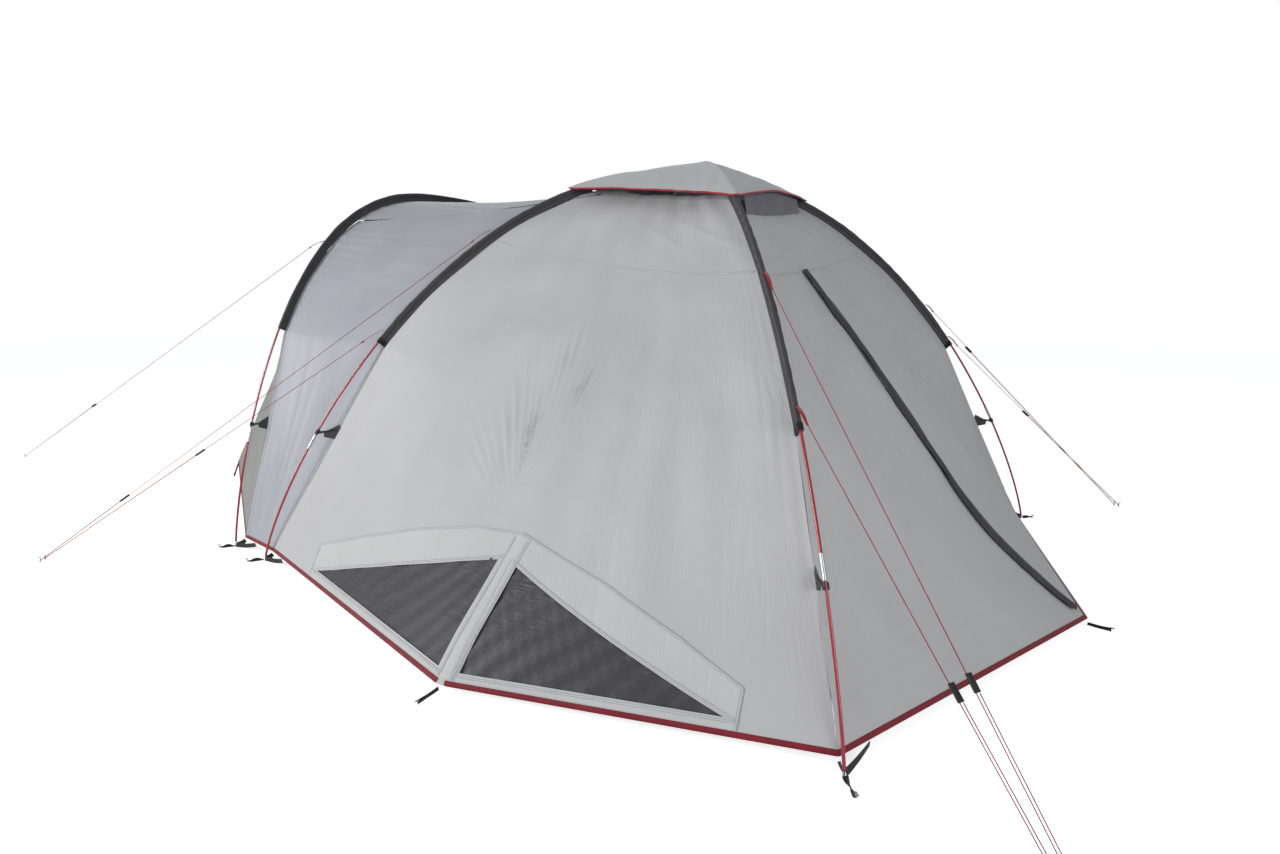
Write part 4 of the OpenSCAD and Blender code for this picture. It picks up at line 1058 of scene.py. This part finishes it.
loopWays = [(p, unit(np.array([0.65 if p[0] > 0 else -0.75, np.sign(p[1]) * 0.76, 0])))
            for p in footPlaces[:4]]
loopWays += [(footPlaces[4 + n], unit(np.array([-0.75, s * 0.66, 0]))) for n, s in enumerate((-1, 1))]
hemWays = [(sidePeg * np.array([1, -1, 1]), (0, -1, 0)), (sidePeg, (0, 1, 0)), (rearPeg, (1, 0, 0)),
           (nose * np.array([1, -1, 1]), (-1, 0, 0)), (nose, (-1, 0, 0))]
parts = []
for n, (p, ahead) in enumerate(loopWays):
    end = pegWay(p, ahead) + np.array([0, 0, 0.006])
    start = np.array([p[0], p[1], 0.009]) + ahead * 0.004
    ribbonBetween(f"footLoop{n}a", start, end, 0.003, (20, 200), webbing["width"] * 0.8, parts)
for n, (p, ahead) in enumerate(hemWays):
    end = pegWay(p, ahead) + np.array([0, 0, 0.008])
    for m, turn in enumerate(((60, 80), (110, 100))):
        aside = 0.003 * np.array([-ahead[1], ahead[0], 0]) * (1 - 2 * m)
        ribbonBetween(f"hemLoop{n}{m}", p + np.array([0, 0, -0.012]), end + aside, 0.002, turn, 0.011, parts)
joinAs("pegLoops", parts, "peg_straps")
print("webbing made")

# clips: a moulded hook snapped on the rod, on a dark triangle of cloth sewn to the fly
clip = {"step": (1.6, 1.6, -1.6, -1.6, -1.75, -1.75), "outer": 0.0095, "height": 0.02,
        "stem": [(-0.0045, -0.0014), (-0.0045, 0.0014), (-0.003, 0.002), (0.003, 0.002), (0.0045, 0.0014),
                 (0.0045, -0.0014)]}


def flyBeside(i, z):
    if i < 4:
        top = legFly(i, legs["sleeveEnd"][i])
        return mix(hem[i], top, (z - hem[i][2]) / (top[2] - hem[i][2]))
    s = (-1, 1)[i - 4]
    top = hoopFly(s * hoop["sleeveEnd"])
    return mix(porchFoot(s), top, (z - porchHem[2]) / (top[2] - porchHem[2]))


hooks, patches = [], []
for i in range(6):
    if i < 4:
        a = legs["ferrule"][i] + clip["step"][i]
        p, q = legPoint(i, a, legLift(i)), legPoint(i, a + 0.4, legLift(i))
    else:
        s = (-1, 1)[i - 4]
        a = hoop["ferrule"] + clip["step"][i]
        p, q = hoopPoint(s * a), hoopPoint(s * (a + 0.4))
    fly = flyBeside(i, p[2])
    down, inward = unit(q - p), unit(fly - p)
    inward = unit(inward - (inward @ down) * down)
    side = np.cross(down, inward)
    angles = np.radians(np.linspace(40, 320, 25))
    line = p + clip["outer"] * 0.8 * (np.cos(angles)[:, None] * -inward + np.sin(angles)[:, None] * side)
    outward = unit(line - p)
    h, t = clip["height"] / 2, 0.002
    shape = np.array([(-h, -t), (-h, t * 0.6), (-h * 0.8, t), (h * 0.8, t), (h, t * 0.6), (h, -t)])
    hooks.append(sweep(f"clipHook{i}", line, outward, shape, "blackNylon"))
    stem = mix(p + inward * clip["outer"] * 0.9, fly - inward * 0.012, np.linspace(0, 1, 9)[:, None])
    hooks.append(sweep(f"clipStem{i}", stem, np.repeat(side[None], 9, 0), clip["stem"], "blackNylon"))
    t = np.linspace(0, 1, 9)
    shape = np.array([[(-w, -0.0006), (-w, 0.0006), (0, 0.0009), (w, 0.0006), (w, -0.0006), (0, -0.0003)]
                      for w in mix(0.011, 0.036, t)])
    line = mix(p + inward * 0.03, fly + inward * 0.01, t[:, None])
    patches.append(sweep(f"clipPatch{i}", line, np.repeat(side[None], 9, 0), shape, "flapCloth"))
joinAs("poleClips", hooks, "pole_clips")
joinAs("clipPatches", patches)
print("clips made")

# inner tent on toggles, with an open doorway, and the ground sheet
inner = {"share": 0.925, "foot": (1.19, 1.27, 0.07), "low": 0.3, "turn": 62}


def innerRail(i, v):
    v = np.asarray(v, float)
    foot = np.array([legSide[i][0] * inner["foot"][0], legSide[i][1] * inner["foot"][1], inner["foot"][2]])
    low = mix(foot, inner["share"] * legPoint(i, inner["turn"]), v[..., None] / inner["low"])
    deg = mix(inner["turn"], 5, (v - inner["low"]) / (1 - inner["low"]))
    return np.where((v < inner["low"])[..., None], low, inner["share"] * legPoint(i, deg))


def innerSurface(i, j):
    return lambda u, v: mix(innerRail(i, v), innerRail(j, v), u[..., None])


def innerWrinkle(u, v):
    return slack(u * 2.4, v * 2, 2.0) + 0.004 * swell(v, 0.3, 0.08) * np.sin(40 * u)


for name, (i, j), held in (("innerNear", (2, 0), 1), ("innerRear", (0, 1), 1), ("innerFar", (1, 3), 1)):
    cloth(name, innerSurface(i, j), "innerPolyester", u=(0.004, 0.996), v=(0, 0.995), cells=(56, 56),
          wrinkle=innerWrinkle, replaced=["inner_tent"])
doorHole = [(0.3, -0.05), (0.7, -0.05), (0.7, 0.44), (0.5, 0.505), (0.3, 0.44)]
cloth("innerFront", innerSurface(3, 2), "innerPolyester", u=(0.004, 0.996), v=(0, 0.995), cells=(60, 60),
      wrinkle=innerWrinkle, holes=[doorHole], replaced=["inner_front_wall"])
seam("innerDoorSeam", innerSurface(3, 2),
     [(0.297, 0.002), (0.297, 0.443), (0.5, 0.51), (0.703, 0.443), (0.703, 0.002)], finish="sleeveSeam",
     wrinkle=innerWrinkle, lift=0.0006, width=0.02)


def floorSurface(u, v):
    x, y = mix(-inner["foot"][0], inner["foot"][0], u), mix(-inner["foot"][1], inner["foot"][1], v)
    return xyz(x, y, 0 * x + 0.0012)


cloth("groundSheet", floorSurface, "floorPolyester", cells=(60, 60), replaced=["groundsheet"],
      wrinkle=lambda u, v: 0.0015 * (1 + np.sin(17 * u + 5 * v) * np.sin(13 * v - 4 * u)))
x, y = inner["foot"][0], inner["foot"][1]
corners = [np.array(c + (0.031,)) for c in ((-x, -y), (x, -y), (x, y), (-x, y), (-x, -y))]
t = np.linspace(0, 1, 30, endpoint=False)[:, None]
line = np.concatenate([mix(p, q, t) for p, q in zip(corners, corners[1:])])
flatWay = unit(unit(np.array([0, 0, 0.031]) - line) * np.array([1, 1, 0]))
wallShape = [(-0.03, -0.0006), (-0.03, 0.0006), (0, 0.0012), (0.03, 0.0006), (0.03, -0.0006), (0, 0)]
sweep("groundSheetWall", np.concatenate([line, line[:1]]), np.concatenate([flatWay, flatWay[:1]]), wallShape,
      "floorPolyester")
print("inner tent made")

# tabs for the guy lines: red webbing on the dome's sleeves, a black triangle on the hoop, and a knot on each
tabs, knots = [], []
for k in range(7):
    root, tie = guy["roots"][k], guy["ties"][k]
    ahead = unit(tie - root)
    out = unit(root * np.array([1, 1, 1.4]) * (1 if k else np.array([0.2, 1, 1])))
    out = unit(out - (out @ ahead) * ahead)
    t = np.linspace(0, 1, 12)
    wide = mix(0.055, 0.006, t) if k == 0 else 0.0115 * (1 - 0.35 * t ** 4)
    line = mix(root, tie, t[:, None]) + (0.004 * bow(t))[:, None] * out
    tabs.append(sweep(f"guyTab{k + 1}", line, np.repeat(out[None], 12, 0),
                      np.array([tapeProfile(w, 0.0016) for w in wide]),
                      "flapCloth" if k == 0 else "capPiping"))
    way = unit(guyRoute(k)[0][3] - tie)
    bead = np.array([tie - way * 0.003 + way * d for d in np.linspace(0, 0.018, 9)])
    thick = [0.0026 + 0.0042 * math.sqrt(max(0.0, bow(d))) * (1 + 0.15 * math.sin(22 * d))
             for d in np.linspace(0, 1, 9)]
    knots.append(sweep(f"guyKnot{k + 1}", bead, steadyNormals(bead),
                       np.array([roundProfile(d, 10) for d in thick]), "guyCord"))
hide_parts("guy_tabs")
joinAs("guyTabs", tabs[1:])
joinAs("guyKnots", knots)
print("guy tabs made")


# studio: a white floor and backdrop, a large soft key from the front left, a fill from the right
studio = {"floor": "#F2F2F2", "floorGlow": 0.72, "world": 0.32,
          "lights": (("keyLight", (-2.9, -6.3, 2.7), (0.6, 0, 0.7), 2.6, 310),
                     ("fillLight", (7.0, -3.0, 2.2), (0.6, 0, 0.7), 3.0, 150),
                     ("topLight", (1.0, 3.5, 6.5), (0.4, 0, 0.9), 4.0, 14))}


def softLight(name, place_, aim, size, power):
    data = bpy.data.lights.new(name, "AREA")
    data.shape, data.size, data.energy = "SQUARE", size, power
    o = bpy.data.objects.new(name, data)
    bpy.context.scene.collection.objects.link(o)
    o.location = place_
    o.rotation_euler = (Vector(aim) - Vector(place_)).to_track_quat("-Z", "Y").to_euler()


def makeStudio():
    bpy.ops.object.select_all(action="DESELECT")
    bpy.ops.mesh.primitive_plane_add(size=60, location=(0, 0, 0))
    floor = bpy.context.object
    floor.name = "floor"
    material, tree, shader = startMaterial("paleFloor", {
        "Base Color": linear(studio["floor"]), "Roughness": 0.9, "Emission Color": (1, 1, 1, 1)})
    seen = addNode(tree, "LightPath")
    glow = addNode(tree, "Math", {"operation": "MULTIPLY", 1: studio["floorGlow"]},
                   {0: seen.outputs["Is Camera Ray"]})
    tree.links.new(glow.outputs[0], shader.inputs["Emission Strength"])
    floor.data.materials.append(material)
    for light in studio["lights"]:
        softLight(*light)
    world = bpy.data.worlds.new("studio")
    bpy.context.scene.world = world
    world.use_nodes = True
    tree = world.node_tree
    light = tree.nodes["Background"]
    light.inputs["Color"].default_value = (0.94, 0.96, 1, 1)
    light.inputs["Strength"].default_value = studio["world"]
    backdrop = addNode(tree, "Background", {"Color": (1, 1, 1, 1), "Strength": 1.0})
    seen = addNode(tree, "LightPath")
    both = addNode(tree, "MixShader", links={0: seen.outputs["Is Camera Ray"], 1: light.outputs[0],
                                             2: backdrop.outputs[0]})
    tree.links.new(both.outputs[0], tree.nodes["World Output"].inputs["Surface"])
    bpy.context.scene.view_settings.view_transform = "Standard"


makeStudio()
print("studio lit")
